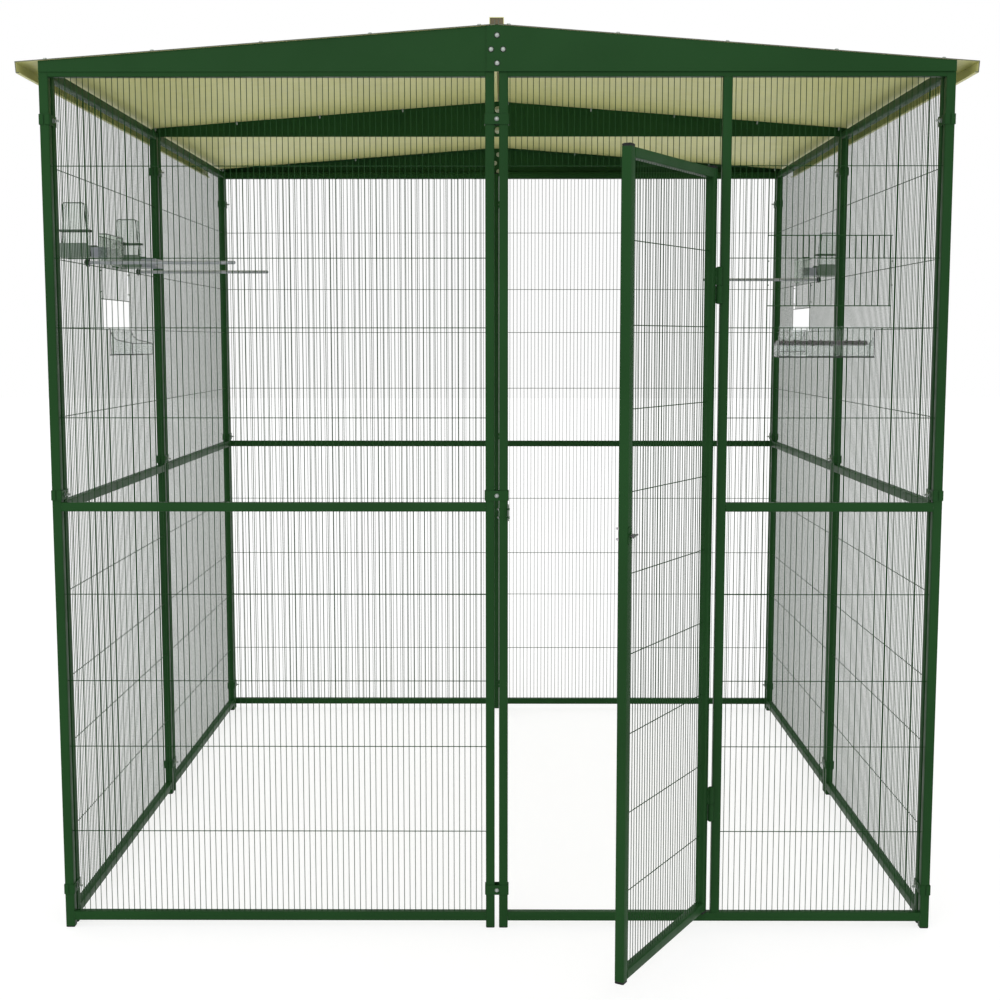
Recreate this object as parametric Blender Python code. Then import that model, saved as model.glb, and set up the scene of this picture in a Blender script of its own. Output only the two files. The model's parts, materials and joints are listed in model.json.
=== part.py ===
"""Garden aviary: eight welded mesh panels clamped into a room, with a hinged door, a two-slope
sheet roof on three gable beams, sliding feed hatches, troughs, hopper feeders and perches.

Plan: the front panels' outer faces lie on the parent empty's Y = 0, the left half at -X, and the
ground at Z = 0. Depths into a wall are counted from its outer face towards the inside."""
import math

import bmesh
import bpy
from mathutils import Matrix, Vector

# Welded panels of square tube
TUBE = 0.020
PANEL_WIDTH = 0.986
PANEL_GAP = 0.010
LEG = 0.017                  # tube left standing below a bottom rail
LONG_ROW = 0.1985            # height of the mesh's tall rows
SHORT_ROW = 0.152            # height of the row that a feed hatch closes
CLEAR = 0.0003               # seat gap between pieces that touch

# Wire mesh: one bar drawn for every twelve upright wires, and each level wire where it lies
BAR = 0.003
BAR_ROOT = 0.005             # length of each bar's end inside its tube
PLAIN_COLUMNS = 6
TRANSOM_COLUMNS = 4

# Doorway and door leaf
DOORWAY = 0.465
AXIS_TO_POST = 0.004
AXIS_OUT = 0.005             # hinge axis ahead of the front faces
STILE_GAP = 0.0045           # hinge axis to the hinge stile
LEAF_WIDTH = 0.446
LEAF_LOW = 0.047
LEAF_HEIGHT = 1.665
LEAF_FIRST_WIRE = 0.2255
LEAF_WIRE_STEP = 0.1638
LEAF_COLUMNS = 4
STILE_CAP = 0.006
DOOR_OPEN = math.radians(60.35)

# Weld-on hinges, each a fixed lower knuckle with its pin and a lifted-off upper knuckle
HINGE_LEVELS = (0.256, 1.423)
KNUCKLE = 0.039
KNUCKLE_RADIUS = 0.006
PIN_RADIUS = 0.003
PIN_FIT = 0.0004
HINGE_TAB = 0.009

# Door bolt and keep
LATCH_HEIGHT = 0.961
LATCH_PLATE = (0.016, 0.034, 0.002)
LATCH_ROD_RADIUS = 0.003
LATCH_ROD_OUT = 0.0075       # rod centre ahead of the stile's outer face
LATCH_THROW = 0.018
LATCH_FIT = 0.0005
LATCH_GUIDE = 0.005
LATCH_KNOB = 0.012
KEEP_HEIGHT = 0.034
KEEP_SHEET = 0.002

# Two-part clamps round each pair of tubes
CLAMP_LEVELS = (0.0905, 0.999, 1.819)
CLAMP_HEIGHT = 0.0225
CLAMP_WALL = 0.0018
CLAMP_SEAM = 0.002           # half of the slit that the mesh passes through
BOLT_RADIUS = 0.003
BOLT_HEAD_RADIUS = 0.0052
BOLT_HEAD = 0.004

# Gable beams and roof
SHEET = 0.002
GABLE_LAP = 0.022            # each half runs this far past the ridge
GABLE_APRON = 0.010          # web below the top of the rail it stands on
GABLE_EAVES = 0.0128         # top of the web above that rail at the wall
GABLE_RISE = 0.0745
GABLE_FLANGE = 0.020
ROOF_OVERHANG = 0.048
ROOF_LIP = 0.023
ROOF_RETURN = 0.007
ROOF_UPSTAND = 0.009
ROOF_UPSTAND_HALF_GAP = 0.004
ROOF_PAST_FRAME = 0.006
CAP_WIDTH = 0.031
CAP_HEIGHT = 0.014
CAP_SHEET = 0.0015

# Feed hatches: mesh flaps that slide up on a wall's outer side
HATCH_WIDTH = 0.271
HATCH_HEIGHT = 0.155
HATCH_HOOKS = (0.093, 0.145)  # above the sill wire's centre
HOOK_LENGTH = 0.008
HOOK_LIP = 0.0025
HATCH_FROM_POST = 0.0845
HATCH_RAISED = {"front": 0.0485, "left": 0.0755, "right": 0.0755}

# Troughs hung on the sill wire inside each hatch
TROUGH_LENGTH = 0.212
TROUGH_DEPTH = 0.0567
TROUGH_BACK = 0.060
TROUGH_LIP = 0.0289
TROUGH_WALL = 0.002
TROUGH_INSET = {"front": 0.028, "left": 0.049, "right": 0.0515}
TROUGH_HANG = 0.066          # from the sill wire down to the trough's floor
TROUGH_PERCH_RADIUS = 0.0044
TROUGH_PERCH_LENGTH = 0.206
TROUGH_PERCH_KNOBS = 5
KNOB_RISE = 0.0012
CLIP_SHEET = 0.0012          # clips that carry the rod on the trough's lip
CLIP_WIDTH = 0.006
CLIP_DROP = 0.007

# Hopper feeders: a seed box outside the wall, a cup inside it
FEEDER_LENGTH = 0.0959
FEEDER_BOX_DEPTH = 0.0797
FEEDER_BOX_HEIGHT = 0.034
FEEDER_BOX_ABOVE_WIRE = 0.020
FEEDER_CUP_DEPTH = 0.0372
FEEDER_CUP_HEIGHT = 0.024
FEEDER_WALL = 0.002
HOPPER_HEIGHT = 0.096
HOPPER_TOP_DEPTH = 0.0515
HOPPER_FOOT_DEPTH = 0.0633
HOPPER_BACK = 0.0049         # hopper's foot from the box's inner face
HOPPER_LEAN = 0.0068
HOPPER_RIM = 0.005
HOPPER_RIM_ABOVE_BOX = 0.027
FEEDER_ALONG = {"left_front": 0.299, "left_back": 0.796, "right": 0.318}  # from its panel's edge
FEEDER_PANELS = {"left_front": ("left", "near"), "left_back": ("left", "near"), "right": ("right", "far")}
GUARDED = {"left": "left_front", "right": "right"}
GUARD_LENGTH = 0.150
GUARD_HEIGHT = 0.0735
GUARD_BELOW_CUP = 0.0177
GUARD_RETURN = 0.0165
GUARD_SHEET = 0.0015

# Perch rods, each clamped on the wire by a washer on either side of the mesh
PERCH_RADIUS = 0.004
PERCH_REACH = 0.3535
PERCH_WASHER_RADIUS = 0.010
PERCH_WASHER = 0.002
PERCH_TO_FEEDER = {"left_front": 0.0220, "left_back": 0.0290, "right": 0.0230}

HALF_PANEL = 4 * LONG_ROW + SHORT_ROW
PANEL_HEIGHT = LEG + TUBE + 2 * HALF_PANEL
HALF_WIDTH = PANEL_WIDTH + PANEL_GAP / 2
SIDE_STARTS = {"near": TUBE + PANEL_GAP, "far": TUBE + 2 * PANEL_GAP + PANEL_WIDTH}
DEPTH = 2 * TUBE + 3 * PANEL_GAP + 2 * PANEL_WIDTH
RAILS = tuple(LEG + TUBE / 2 + k * HALF_PANEL for k in range(3))
STEPS = (LONG_ROW, 2 * LONG_ROW, 2 * LONG_ROW + SHORT_ROW, 3 * LONG_ROW + SHORT_ROW)
LEVELS = tuple(rail + step for rail in RAILS[:2] for step in STEPS)
SILL = RAILS[1] + STEPS[1]
MESH = TUBE / 2              # depth of the mesh's middle plane
MESH_BACK = MESH + BAR / 2
MESH_FACE = MESH - BAR / 2
DOOR_LEFT = PANEL_GAP / 2 + TUBE
POST = DOOR_LEFT + DOORWAY
AXIS = (POST - AXIS_TO_POST, -AXIS_OUT)
LEAF_FREE = STILE_GAP + LEAF_WIDTH
SLOPE = GABLE_RISE / (HALF_WIDTH - 0.001)
WALL_TOP = PANEL_HEIGHT

LATCH_ARM = LATCH_ROD_RADIUS + LATCH_FIT + 0.002
FEEDER_STARTS = {name: SIDE_STARTS[FEEDER_PANELS[name][1]] + at for name, at in FEEDER_ALONG.items()}
HATCH_AFTER_FEEDER = FEEDER_LENGTH + CLEAR + HOOK_LIP
HATCH_STARTS = {
    "front": POST + TUBE + HATCH_FROM_POST,
    "left": FEEDER_STARTS["left_front"] + HATCH_AFTER_FEEDER,
    "right": FEEDER_STARTS["right"] + HATCH_AFTER_FEEDER,
}

# The open door's latch reaches furthest ahead and the clamp bolts furthest behind, and the
# middle of the plan lies between them
DOOR_REACH = (
    AXIS_OUT + (LEAF_FREE - (TUBE - LATCH_PLATE[0]) / 2) * math.sin(DOOR_OPEN)
    + (LATCH_ROD_OUT + LATCH_ARM - AXIS_OUT) * math.cos(DOOR_OPEN))
BACK_REACH = max(ROOF_PAST_FRAME, CLEAR + CLAMP_WALL + BOLT_HEAD)
PLAN_MIDDLE = (DEPTH + BACK_REACH - DOOR_REACH) / 2

GREEN = (0.022, 0.075, 0.026)
CREAM = (0.60, 0.56, 0.36)
ZINC = (0.60, 0.60, 0.58)


def wall(side):
    """Maps (along, depth, height) on a wall to the plan; depth grows from the outer face inwards."""
    return {
        "front": lambda u, t, z: (u, t, z),
        "back": lambda u, t, z: (u, DEPTH - t, z),
        "left": lambda u, t, z: (-HALF_WIDTH + t, u, z),
        "right": lambda u, t, z: (HALF_WIDTH - t, u, z),
    }[side]


def finish_mesh(bm, name):
    bmesh.ops.recalc_face_normals(bm, faces=bm.faces)
    mesh = bpy.data.meshes.new(name)
    bm.to_mesh(mesh)
    bm.free()
    return mesh


def lattice(columns, rows, solid, near, far, put):
    """A plate between two depths, made of the rectangular cells that solid(u, z) keeps."""
    bm = bmesh.new()
    corners = {}

    def corner(i, j, depth):
        key = (i, j, depth)
        if key not in corners:
            corners[key] = bm.verts.new(put(columns[i], depth, rows[j]))
        return corners[key]

    def full(i, j):
        if not (0 <= i < len(columns) - 1 and 0 <= j < len(rows) - 1):
            return False
        return solid((columns[i] + columns[i + 1]) / 2, (rows[j] + rows[j + 1]) / 2)

    for i in range(len(columns) - 1):
        for j in range(len(rows) - 1):
            if not full(i, j):
                continue
            ring = ((i, j), (i + 1, j), (i + 1, j + 1), (i, j + 1))
            for depth in (near, far):
                bm.faces.new([corner(a, b, depth) for a, b in ring])
            for k, step in enumerate(((0, -1), (1, 0), (0, 1), (-1, 0))):
                if full(i + step[0], j + step[1]):
                    continue
                a, b = ring[k], ring[(k + 1) % 4]
                bm.faces.new([corner(*a, near), corner(*b, near), corner(*b, far), corner(*a, far)])
    return finish_mesh(bm, "lattice")


def extrude(outline, start, end, put):
    """A prism on a closed outline of (p, q), from start to end along put's third argument."""
    bm = bmesh.new()
    low = [bm.verts.new(put(p, q, start)) for p, q in outline]
    high = [bm.verts.new(put(p, q, end)) for p, q in outline]
    bm.faces.new(low)
    bm.faces.new(high)
    for k in range(len(outline)):
        nxt = (k + 1) % len(outline)
        bm.faces.new([low[k], low[nxt], high[nxt], high[k]])
    return finish_mesh(bm, "prism")


def block(u, t, z, put):
    return extrude(((u[0], t[0]), (u[1], t[0]), (u[1], t[1]), (u[0], t[1])), z[0], z[1], put)


def turned(profile, sides, origin, along):
    """A turned solid: (distance, radius) pairs along an axis from origin."""
    turn = Vector(along).to_track_quat("Z", "Y").to_matrix().to_4x4()
    place = Matrix.Translation(Vector(origin)) @ turn
    bm = bmesh.new()
    rings = []
    for distance, radius in profile:
        angles = [2 * math.pi * (k + 0.5) / sides for k in range(sides)]
        points = [Vector((radius * math.cos(a), radius * math.sin(a), distance)) for a in angles]
        rings.append([bm.verts.new(place @ point) for point in points])
    bm.faces.new(rings[0])
    bm.faces.new(rings[-1])
    for low, high in zip(rings, rings[1:]):
        for k in range(sides):
            nxt = (k + 1) % sides
            bm.faces.new([low[k], low[nxt], high[nxt], high[k]])
    return finish_mesh(bm, "turned")


def folded(path, thickness):
    """The outline of a sheet of even thickness bent along a path, mitred at each bend."""
    points = [Vector(point) for point in path]
    runs = [(b - a).normalized() for a, b in zip(points, points[1:])]
    sides = [Vector((-run.y, run.x)) for run in runs]
    offsets = [sides[0]]
    for before, after in zip(sides, sides[1:]):
        middle = (before + after).normalized()
        offsets.append(middle / middle.dot(before))
    offsets.append(sides[-1])
    left = [p + o * thickness / 2 for p, o in zip(points, offsets)]
    right = [p - o * thickness / 2 for p, o in zip(points, offsets)]
    return [tuple(p) for p in left + right[::-1]]


def boolean(kind, body, *tools):
    """Joins tools to a body, or cuts them out of it, and returns the result's mesh."""
    base = bpy.data.objects.new("base", body)
    bpy.context.collection.objects.link(base)
    helpers = []
    for tool in tools:
        helper = bpy.data.objects.new("tool", tool)
        bpy.context.collection.objects.link(helper)
        helpers.append(helper)
        modifier = base.modifiers.new(kind, "BOOLEAN")
        modifier.operation = kind
        modifier.solver = "EXACT"
        modifier.object = helper
    evaluated = base.evaluated_get(bpy.context.evaluated_depsgraph_get())
    result = bpy.data.meshes.new_from_object(evaluated)
    for helper in helpers + [base]:
        bpy.data.objects.remove(helper)
    return result


def union(body, *tools):
    return boolean("UNION", body, *tools)


def cut(body, *tools):
    return boolean("DIFFERENCE", body, *tools)


def add(name, mesh, colour, parent, roughness=0.45, metallic=0.0, alpha=1.0):
    """Makes one named piece with a material of its own."""
    mesh.name = name
    obj = bpy.data.objects.new(name, mesh)
    bpy.context.collection.objects.link(obj)
    obj.parent = parent
    material = bpy.data.materials.new(name)
    material.use_nodes = True
    shader = material.node_tree.nodes["Principled BSDF"]
    shader.inputs["Base Color"].default_value = (*colour, 1.0)
    shader.inputs["Roughness"].default_value = roughness
    shader.inputs["Metallic"].default_value = metallic
    shader.inputs["Alpha"].default_value = alpha
    mesh.materials.clear()
    mesh.materials.append(material)
    mesh.shade_smooth()
    mesh.set_sharp_from_angle(angle=math.radians(40))
    return obj


def spans(centres):
    return [(c - BAR / 2, c + BAR / 2) for c in centres]


def mesh_field(inner, heights, uprights, levels, put, openings=()):
    """Wire mesh across a frame's opening, its bars' ends set into the tubes round it."""
    u_bars = spans(uprights)
    z_bars = spans(levels)
    u_ends = (inner[0] - BAR_ROOT, inner[1] + BAR_ROOT)
    z_ends = (heights[0] - BAR_ROOT, heights[1] + BAR_ROOT)
    columns = sorted({*u_ends, *(edge for bar in u_bars for edge in bar)})
    rows = sorted({*z_ends, *(edge for bar in z_bars for edge in bar)})

    def solid(u, z):
        for low_u, high_u, low_z, high_z in openings:
            if low_u < u < high_u and low_z < z < high_z:
                return False
        return any(a < u < b for a, b in u_bars) or any(a < z < b for a, b in z_bars)

    return lattice(columns, rows, solid, MESH_FACE, MESH_BACK, put)


def tube_frame(uprights, rails, top, put):
    """Uprights and rails of square tube in one plane; rails are (centre, start, end)."""
    columns = sorted({edge for u in uprights for edge in (u, u + TUBE)})
    rows = sorted({0.0, top, *(c + s * TUBE / 2 for c, _, _ in rails for s in (-1, 1))})

    def solid(u, z):
        if any(a < u < a + TUBE for a in uprights):
            return True
        return any(abs(z - c) < TUBE / 2 and a < u < b for c, a, b in rails)

    return lattice(columns, rows, solid, 0.0, TUBE, put)


def evenly(start, end, columns):
    return [start + (end - start) * k / columns for k in range(1, columns)]


def hatch_opening(start):
    """The mesh left out behind a hatch, inside the two upright bars that it slides on."""
    return (start + BAR, start + HATCH_WIDTH - BAR, SILL + BAR / 2, SILL + SHORT_ROW - BAR / 2)


def hatch_uprights(start):
    """The bars that a hatch slides on, and the one cut away between them."""
    side = BAR / 2 - HOOK_LIP
    return [start + side, start + HATCH_WIDTH / 2, start + HATCH_WIDTH - side]


def hatch_hooks(start, put):
    """Four hooks that hold a hatch's side bars against the mesh."""
    hooks = []
    face = MESH_FACE - CLEAR - BAR
    for edge, out in ((start, -1), (start + HATCH_WIDTH, 1)):
        for above in HATCH_HOOKS:
            outer = edge + out * HOOK_LIP
            inner = edge - out * HOOK_LIP
            side = edge + out * CLEAR
            low = SILL + above - HOOK_LENGTH / 2
            outline = (
                (inner, face - CLEAR - SHEET), (outer, face - CLEAR - SHEET), (outer, MESH),
                (side, MESH), (side, face - CLEAR), (inner, face - CLEAR),
            )
            hooks.append(extrude(outline, low, low + HOOK_LENGTH, put))
    return hooks


def plain_panel(side, start, uprights=None, hatch=None):
    """A full panel: two uprights, three rails and the mesh in both halves."""
    put = wall(side)
    inner = (start + TUBE, start + PANEL_WIDTH - TUBE)
    rails = [(centre, inner[0], inner[1]) for centre in RAILS]
    frame = tube_frame((start, inner[1]), rails, PANEL_HEIGHT, put)
    bars = uprights if uprights else evenly(*inner, PLAIN_COLUMNS)
    fields = []
    for low, high in zip(RAILS, RAILS[1:]):
        heights = (low + TUBE / 2, high - TUBE / 2)
        levels = [level for level in LEVELS if low < level < high]
        openings = [hatch_opening(hatch)] if hatch and low < SILL < high else []
        fields.append(mesh_field(inner, heights, bars, levels, put, openings))
    hooks = hatch_hooks(hatch, put) if hatch else []
    return union(frame, *fields, *hooks)


def feeder_uprights(start):
    """The two bars that a feeder's neck fits between."""
    return [start - CLEAR - BAR / 2, start + FEEDER_LENGTH + CLEAR + BAR / 2]


def door_panel(hatch):
    """The panel with the doorway: a post, a bay of mesh beside it and a strip over the leaf."""
    put = wall("front")
    left = PANEL_GAP / 2
    right = left + PANEL_WIDTH - TUBE
    bay = (POST + TUBE, right)
    rails = [
        (RAILS[0], left + TUBE, right),
        (RAILS[1], bay[0], bay[1]),
        (RAILS[2], left + TUBE, right),
    ]
    frame = tube_frame((left, POST, right), rails, PANEL_HEIGHT, put)
    fields = []
    for low, high in zip(RAILS, RAILS[1:]):
        heights = (low + TUBE / 2, high - TUBE / 2)
        levels = [level for level in LEVELS if low < level < high]
        openings = [hatch_opening(hatch)] if low < SILL < high else []
        fields.append(mesh_field(bay, heights, hatch_uprights(hatch), levels, put, openings))
    transom = (DOOR_LEFT, POST)
    edge = LEVELS[-1]
    strip = mesh_field(
        transom, (edge + BAR / 2 + BAR_ROOT - BAR, RAILS[2] - TUBE / 2),
        evenly(*transom, TRANSOM_COLUMNS), [edge], put)
    return union(frame, *fields, strip, *hatch_hooks(hatch, put), *fixed_knuckles())


def hinge_tab(sign, low, high):
    """The short plate that welds a knuckle to a tube's front face."""
    reach = HINGE_TAB
    outline = (
        (sign * 0.001, -KNUCKLE_RADIUS / 2), (sign * reach, -KNUCKLE_RADIUS / 2),
        (sign * reach, AXIS_OUT + 0.002), (sign * (STILE_GAP + 0.001), AXIS_OUT + 0.002),
        (sign * (STILE_GAP + 0.001), KNUCKLE_RADIUS / 2), (sign * 0.001, KNUCKLE_RADIUS / 2),
    )
    return extrude(outline, low, high, lambda p, q, z: (p, q, z))


def fixed_knuckles():
    """The lower knuckles and their pins, welded to the post."""
    pieces = []
    for level in HINGE_LEVELS:
        profile = (
            (0.0, KNUCKLE_RADIUS), (KNUCKLE, KNUCKLE_RADIUS), (KNUCKLE, PIN_RADIUS),
            (2 * KNUCKLE - 0.004, PIN_RADIUS), (2 * KNUCKLE - 0.003, PIN_RADIUS * 0.7),
        )
        pieces.append(turned(profile, 12, (AXIS[0], AXIS[1], level), (0, 0, 1)))
        tab = hinge_tab(1, level, level + KNUCKLE)
        tab.transform(Matrix.Translation((AXIS[0], AXIS[1], 0)))
        pieces.append(tab)
    return pieces


def door_leaf():
    """The leaf, shut, with the hinge axis at the origin and its free edge at -X."""
    def put(u, t, z):
        return (u, t + AXIS_OUT, z)

    low, high = LEAF_LOW, LEAF_LOW + LEAF_HEIGHT
    stiles = (-LEAF_FREE, -STILE_GAP - TUBE)
    inner = (stiles[0] + TUBE, stiles[1])
    rails = (low + TUBE / 2, high - TUBE / 2)
    columns = [stiles[0], inner[0], inner[1], stiles[1] + TUBE]
    rows = [low - STILE_CAP, low, low + TUBE, high - TUBE, high, high + STILE_CAP]

    def solid(u, z):
        return not inner[0] < u < inner[1] or any(abs(z - c) < TUBE / 2 for c in rails)

    frame = lattice(columns, rows, solid, 0.0, TUBE, put)
    levels = []
    level = LEAF_FIRST_WIRE
    while level < high - TUBE - BAR:
        levels.append(level)
        level += LEAF_WIRE_STEP
    heights = (low + TUBE, high - TUBE)
    field = mesh_field(inner, heights, evenly(*inner, LEAF_COLUMNS), levels, put)
    knuckles = []
    for hinge in HINGE_LEVELS:
        base = hinge + KNUCKLE + CLEAR
        outside = turned(((0.0, KNUCKLE_RADIUS), (KNUCKLE, KNUCKLE_RADIUS)), 12, (0, 0, base), (0, 0, 1))
        knuckles += [outside, hinge_tab(-1, base, base + KNUCKLE)]
    leaf = union(frame, field, *knuckles)
    bores = []
    for hinge in HINGE_LEVELS:
        profile = ((0.0, PIN_RADIUS + PIN_FIT), (KNUCKLE + 0.004, PIN_RADIUS + PIN_FIT))
        bores.append(turned(profile, 12, (0, 0, hinge + KNUCKLE - 0.002), (0, 0, 1)))
    return cut(leaf, *bores)


def latch_plate():
    """The bolt's base plate on the free stile's outer face, with two guides for the rod."""
    width, height, sheet = LATCH_PLATE
    middle = -LEAF_FREE + TUBE / 2
    face = AXIS_OUT - CLEAR
    rod = AXIS_OUT - LATCH_ROD_OUT
    low, high = LATCH_HEIGHT - height / 2, LATCH_HEIGHT + height / 2

    def put(u, t, z):
        return (u, t, z)

    plate = block((middle - width / 2, middle + width / 2), (face - sheet, face), (low, high), put)
    guides = []
    for edge in (middle - width / 2, middle + width / 2 - LATCH_GUIDE):
        span = (edge, edge + LATCH_GUIDE)
        tall = (LATCH_HEIGHT - LATCH_ARM, LATCH_HEIGHT + LATCH_ARM)
        guides.append(block(span, (rod - LATCH_ARM, face - sheet / 2), tall, put))
    radius = LATCH_ROD_RADIUS + LATCH_FIT
    bore = turned(((0, radius), (width + 0.01, radius)), 10,
                  (middle - width / 2 - 0.005, rod, LATCH_HEIGHT), (1, 0, 0))
    return cut(union(plate, *guides), bore)


def latch_bolt():
    """The sliding rod, drawn back, with its knob far enough behind the guides for the throw."""
    tip = -LEAF_FREE + (TUBE - LATCH_PLATE[0]) / 2
    rod_y = AXIS_OUT - LATCH_ROD_OUT
    stem_radius = 0.002
    stem_at = LATCH_PLATE[0] + LATCH_THROW + stem_radius + 0.001
    length = stem_at + 2 * stem_radius
    profile = ((0.0, LATCH_ROD_RADIUS * 0.7), (0.002, LATCH_ROD_RADIUS), (length, LATCH_ROD_RADIUS))
    rod = turned(profile, 10, (tip, rod_y, LATCH_HEIGHT), (1, 0, 0))
    profile = (
        (0.0, stem_radius), (LATCH_KNOB - 0.004, stem_radius), (LATCH_KNOB - 0.004, 0.0042),
        (LATCH_KNOB - 0.001, 0.0042), (LATCH_KNOB, 0.003),
    )
    stem = turned(profile, 10, (tip + stem_at, rod_y, LATCH_HEIGHT), (0, -1, 0))
    return union(rod, stem)


def latch_keep():
    """The strike plate on the doorway's left tube, with the hole that the rod enters."""
    face = DOOR_LEFT + CLEAR
    rod = -LATCH_ROD_OUT
    front = rod - LATCH_ROD_RADIUS - 0.005
    low, high = LATCH_HEIGHT - KEEP_HEIGHT / 2, LATCH_HEIGHT + KEEP_HEIGHT / 2
    plate = block((face, face + KEEP_SHEET), (front, TUBE - 0.003), (low, high), lambda u, t, z: (u, t, z))
    radius = LATCH_ROD_RADIUS + 0.001
    hole = turned(((0, radius), (0.01, radius)), 10, (face - 0.004, rod, LATCH_HEIGHT), (1, 0, 0))
    return cut(plate, hole)


def clamp():
    """One clamp round a pair of tubes that stand side by side along X, its bolt's head at -Y."""
    half_span = TUBE + PANEL_GAP / 2 + CLEAR + CLAMP_WALL
    half_depth = TUBE / 2 + CLEAR + CLAMP_WALL
    middle_span = half_span - CLAMP_WALL / 2
    middle_depth = half_depth - CLAMP_WALL / 2

    def put(p, q, z):
        return (p, q, z)

    halves = []
    for sign in (-1, 1):
        path = (
            (-middle_span, sign * CLAMP_SEAM), (-middle_span, sign * middle_depth),
            (middle_span, sign * middle_depth), (middle_span, sign * CLAMP_SEAM),
        )
        outline = folded(path, CLAMP_WALL)
        halves.append(extrude(outline, -CLAMP_HEIGHT / 2, CLAMP_HEIGHT / 2, put))
    end = half_depth + BOLT_HEAD
    bolt = turned(((0.0, BOLT_RADIUS), (2 * end - 0.002, BOLT_RADIUS)), 6, (0, -end + 0.001, 0), (0, 1, 0))
    heads = []
    for start in (-end, half_depth - CLAMP_WALL / 2):
        length = BOLT_HEAD + CLAMP_WALL / 2
        profile = ((0.0, BOLT_HEAD_RADIUS), (length, BOLT_HEAD_RADIUS))
        heads.append(turned(profile, 6, (0, start, 0), (0, 1, 0)))
    return union(halves[0], heads[0], bolt, heads[1], halves[1])


def web_top(x):
    """Height of a gable beam's top edge at a distance from the ridge."""
    return WALL_TOP + GABLE_EAVES + (HALF_WIDTH - 0.001 - abs(x)) * SLOPE


def gable_half(sign, first, inward):
    """Half a gable beam: a tapering web with a flange on the rail and one under the roof.

    The right half (sign 1) is the outer of the two layers where they lap at the ridge."""
    layer = first if sign > 0 else first + inward * (SHEET + CLEAR)
    back = first + inward * (2 * SHEET + 2 * CLEAR + GABLE_FLANGE)
    end = HALF_WIDTH - 0.001
    low = WALL_TOP - GABLE_APRON

    def put(p, q, y):
        return (sign * p, y, q)

    web = extrude(
        ((-GABLE_LAP, low), (end, low), (end, web_top(end)), (0.0, web_top(0)), (-GABLE_LAP, web_top(GABLE_LAP))),
        layer, layer + inward * SHEET, put)
    start = GABLE_LAP + 2 * CLEAR
    root = layer + inward * SHEET / 2
    seat = WALL_TOP + CLEAR
    foot = extrude(((start, seat), (end, seat), (end, seat + SHEET), (start, seat + SHEET)), root, back, put)
    top = extrude(
        ((start, web_top(start) - SHEET), (end, web_top(end) - SHEET), (end, web_top(end)), (start, web_top(start))),
        root, back, put)
    return union(web, foot, top)


def roof_sheet(sign):
    """One roof slope: upstand at the ridge, sheet, and a lip turned down along the eaves."""
    angle = math.atan(SLOPE)
    lift = CLEAR + SHEET / 2 / math.cos(angle)
    edge = HALF_WIDTH + ROOF_OVERHANG - SHEET / 2
    start = ROOF_UPSTAND_HALF_GAP
    eaves = web_top(0) + lift - edge * SLOPE
    ridge = web_top(0) + lift - start * SLOPE
    lip = (edge - ROOF_LIP * math.sin(angle), eaves - ROOF_LIP * math.cos(angle))
    path = (
        (start, ridge + ROOF_UPSTAND), (start, ridge), (edge, eaves), lip, (lip[0] - ROOF_RETURN, lip[1]),
    )
    outline = folded(path, SHEET)
    return extrude(outline, -ROOF_PAST_FRAME, DEPTH + ROOF_PAST_FRAME, lambda p, q, y: (sign * p, y, q))


def ridge_cap():
    """An upturned channel over the two upstands."""
    half = CAP_WIDTH / 2 - CAP_SHEET / 2
    slope_top = web_top(0) + CLEAR + SHEET * math.sqrt(1 + SLOPE * SLOPE)
    low = slope_top - (CAP_WIDTH / 2 - CAP_SHEET) * SLOPE + CLEAR
    high = low + CAP_HEIGHT - CAP_SHEET / 2
    outline = folded(((-half, low), (-half, high), (half, high), (half, low)), CAP_SHEET)
    return extrude(outline, -ROOF_PAST_FRAME, DEPTH + ROOF_PAST_FRAME, lambda p, q, y: (p, y, q))


def hatch(side, start, raised):
    """A flap of mesh in its own wire frame, lying on the wall's outer side."""
    face = MESH_FACE - CLEAR - BAR
    low = SILL - BAR / 2 + raised
    high = low + HATCH_HEIGHT
    middle = start + HATCH_WIDTH / 2
    columns = [start, start + BAR, middle - BAR / 2, middle + BAR / 2, start + HATCH_WIDTH - BAR,
               start + HATCH_WIDTH]
    rows = [low, low + BAR, high - BAR, high]

    def solid(u, z):
        edge = min(u - start, start + HATCH_WIDTH - u, z - low, high - z)
        return edge < BAR or abs(u - middle) < BAR / 2

    return lattice(columns, rows, solid, face, face + BAR, wall(side))


def along(side):
    """Puts (depth, height) outlines on a wall and runs them along it."""
    put = wall(side)
    return lambda t, z, u: put(u, t, z)


def trough(side, start):
    """A feed trough whose back wall hooks over the sill wire; its ends slope to a low lip."""
    back = MESH_BACK + CLEAR
    front = back + TROUGH_DEPTH
    hook = SILL + BAR / 2 + CLEAR
    low = hook - TROUGH_HANG
    outer = (
        (back, low), (front, low + 0.001), (front, low + TROUGH_LIP),
        (front - TROUGH_WALL, low + TROUGH_LIP), (back + 0.017, low + 0.038),
        (back + 0.006, low + 0.047), (back + 0.0014, low + TROUGH_BACK), (back + 0.0014, hook + 0.0018),
        (MESH_FACE, hook + 0.0018), (MESH_FACE, hook), (back, hook),
    )
    inside = (
        (back + TROUGH_WALL, low + TROUGH_WALL), (front - TROUGH_WALL, low + TROUGH_WALL + 0.001),
        (front - TROUGH_WALL, hook + 0.01), (back + TROUGH_WALL, hook + 0.01),
    )
    put = along(side)
    body = extrude(outer, start, start + TROUGH_LENGTH, put)
    hollow = extrude(inside, start + TROUGH_WALL, start + TROUGH_LENGTH - TROUGH_WALL, put)
    return cut(body, hollow)


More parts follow.
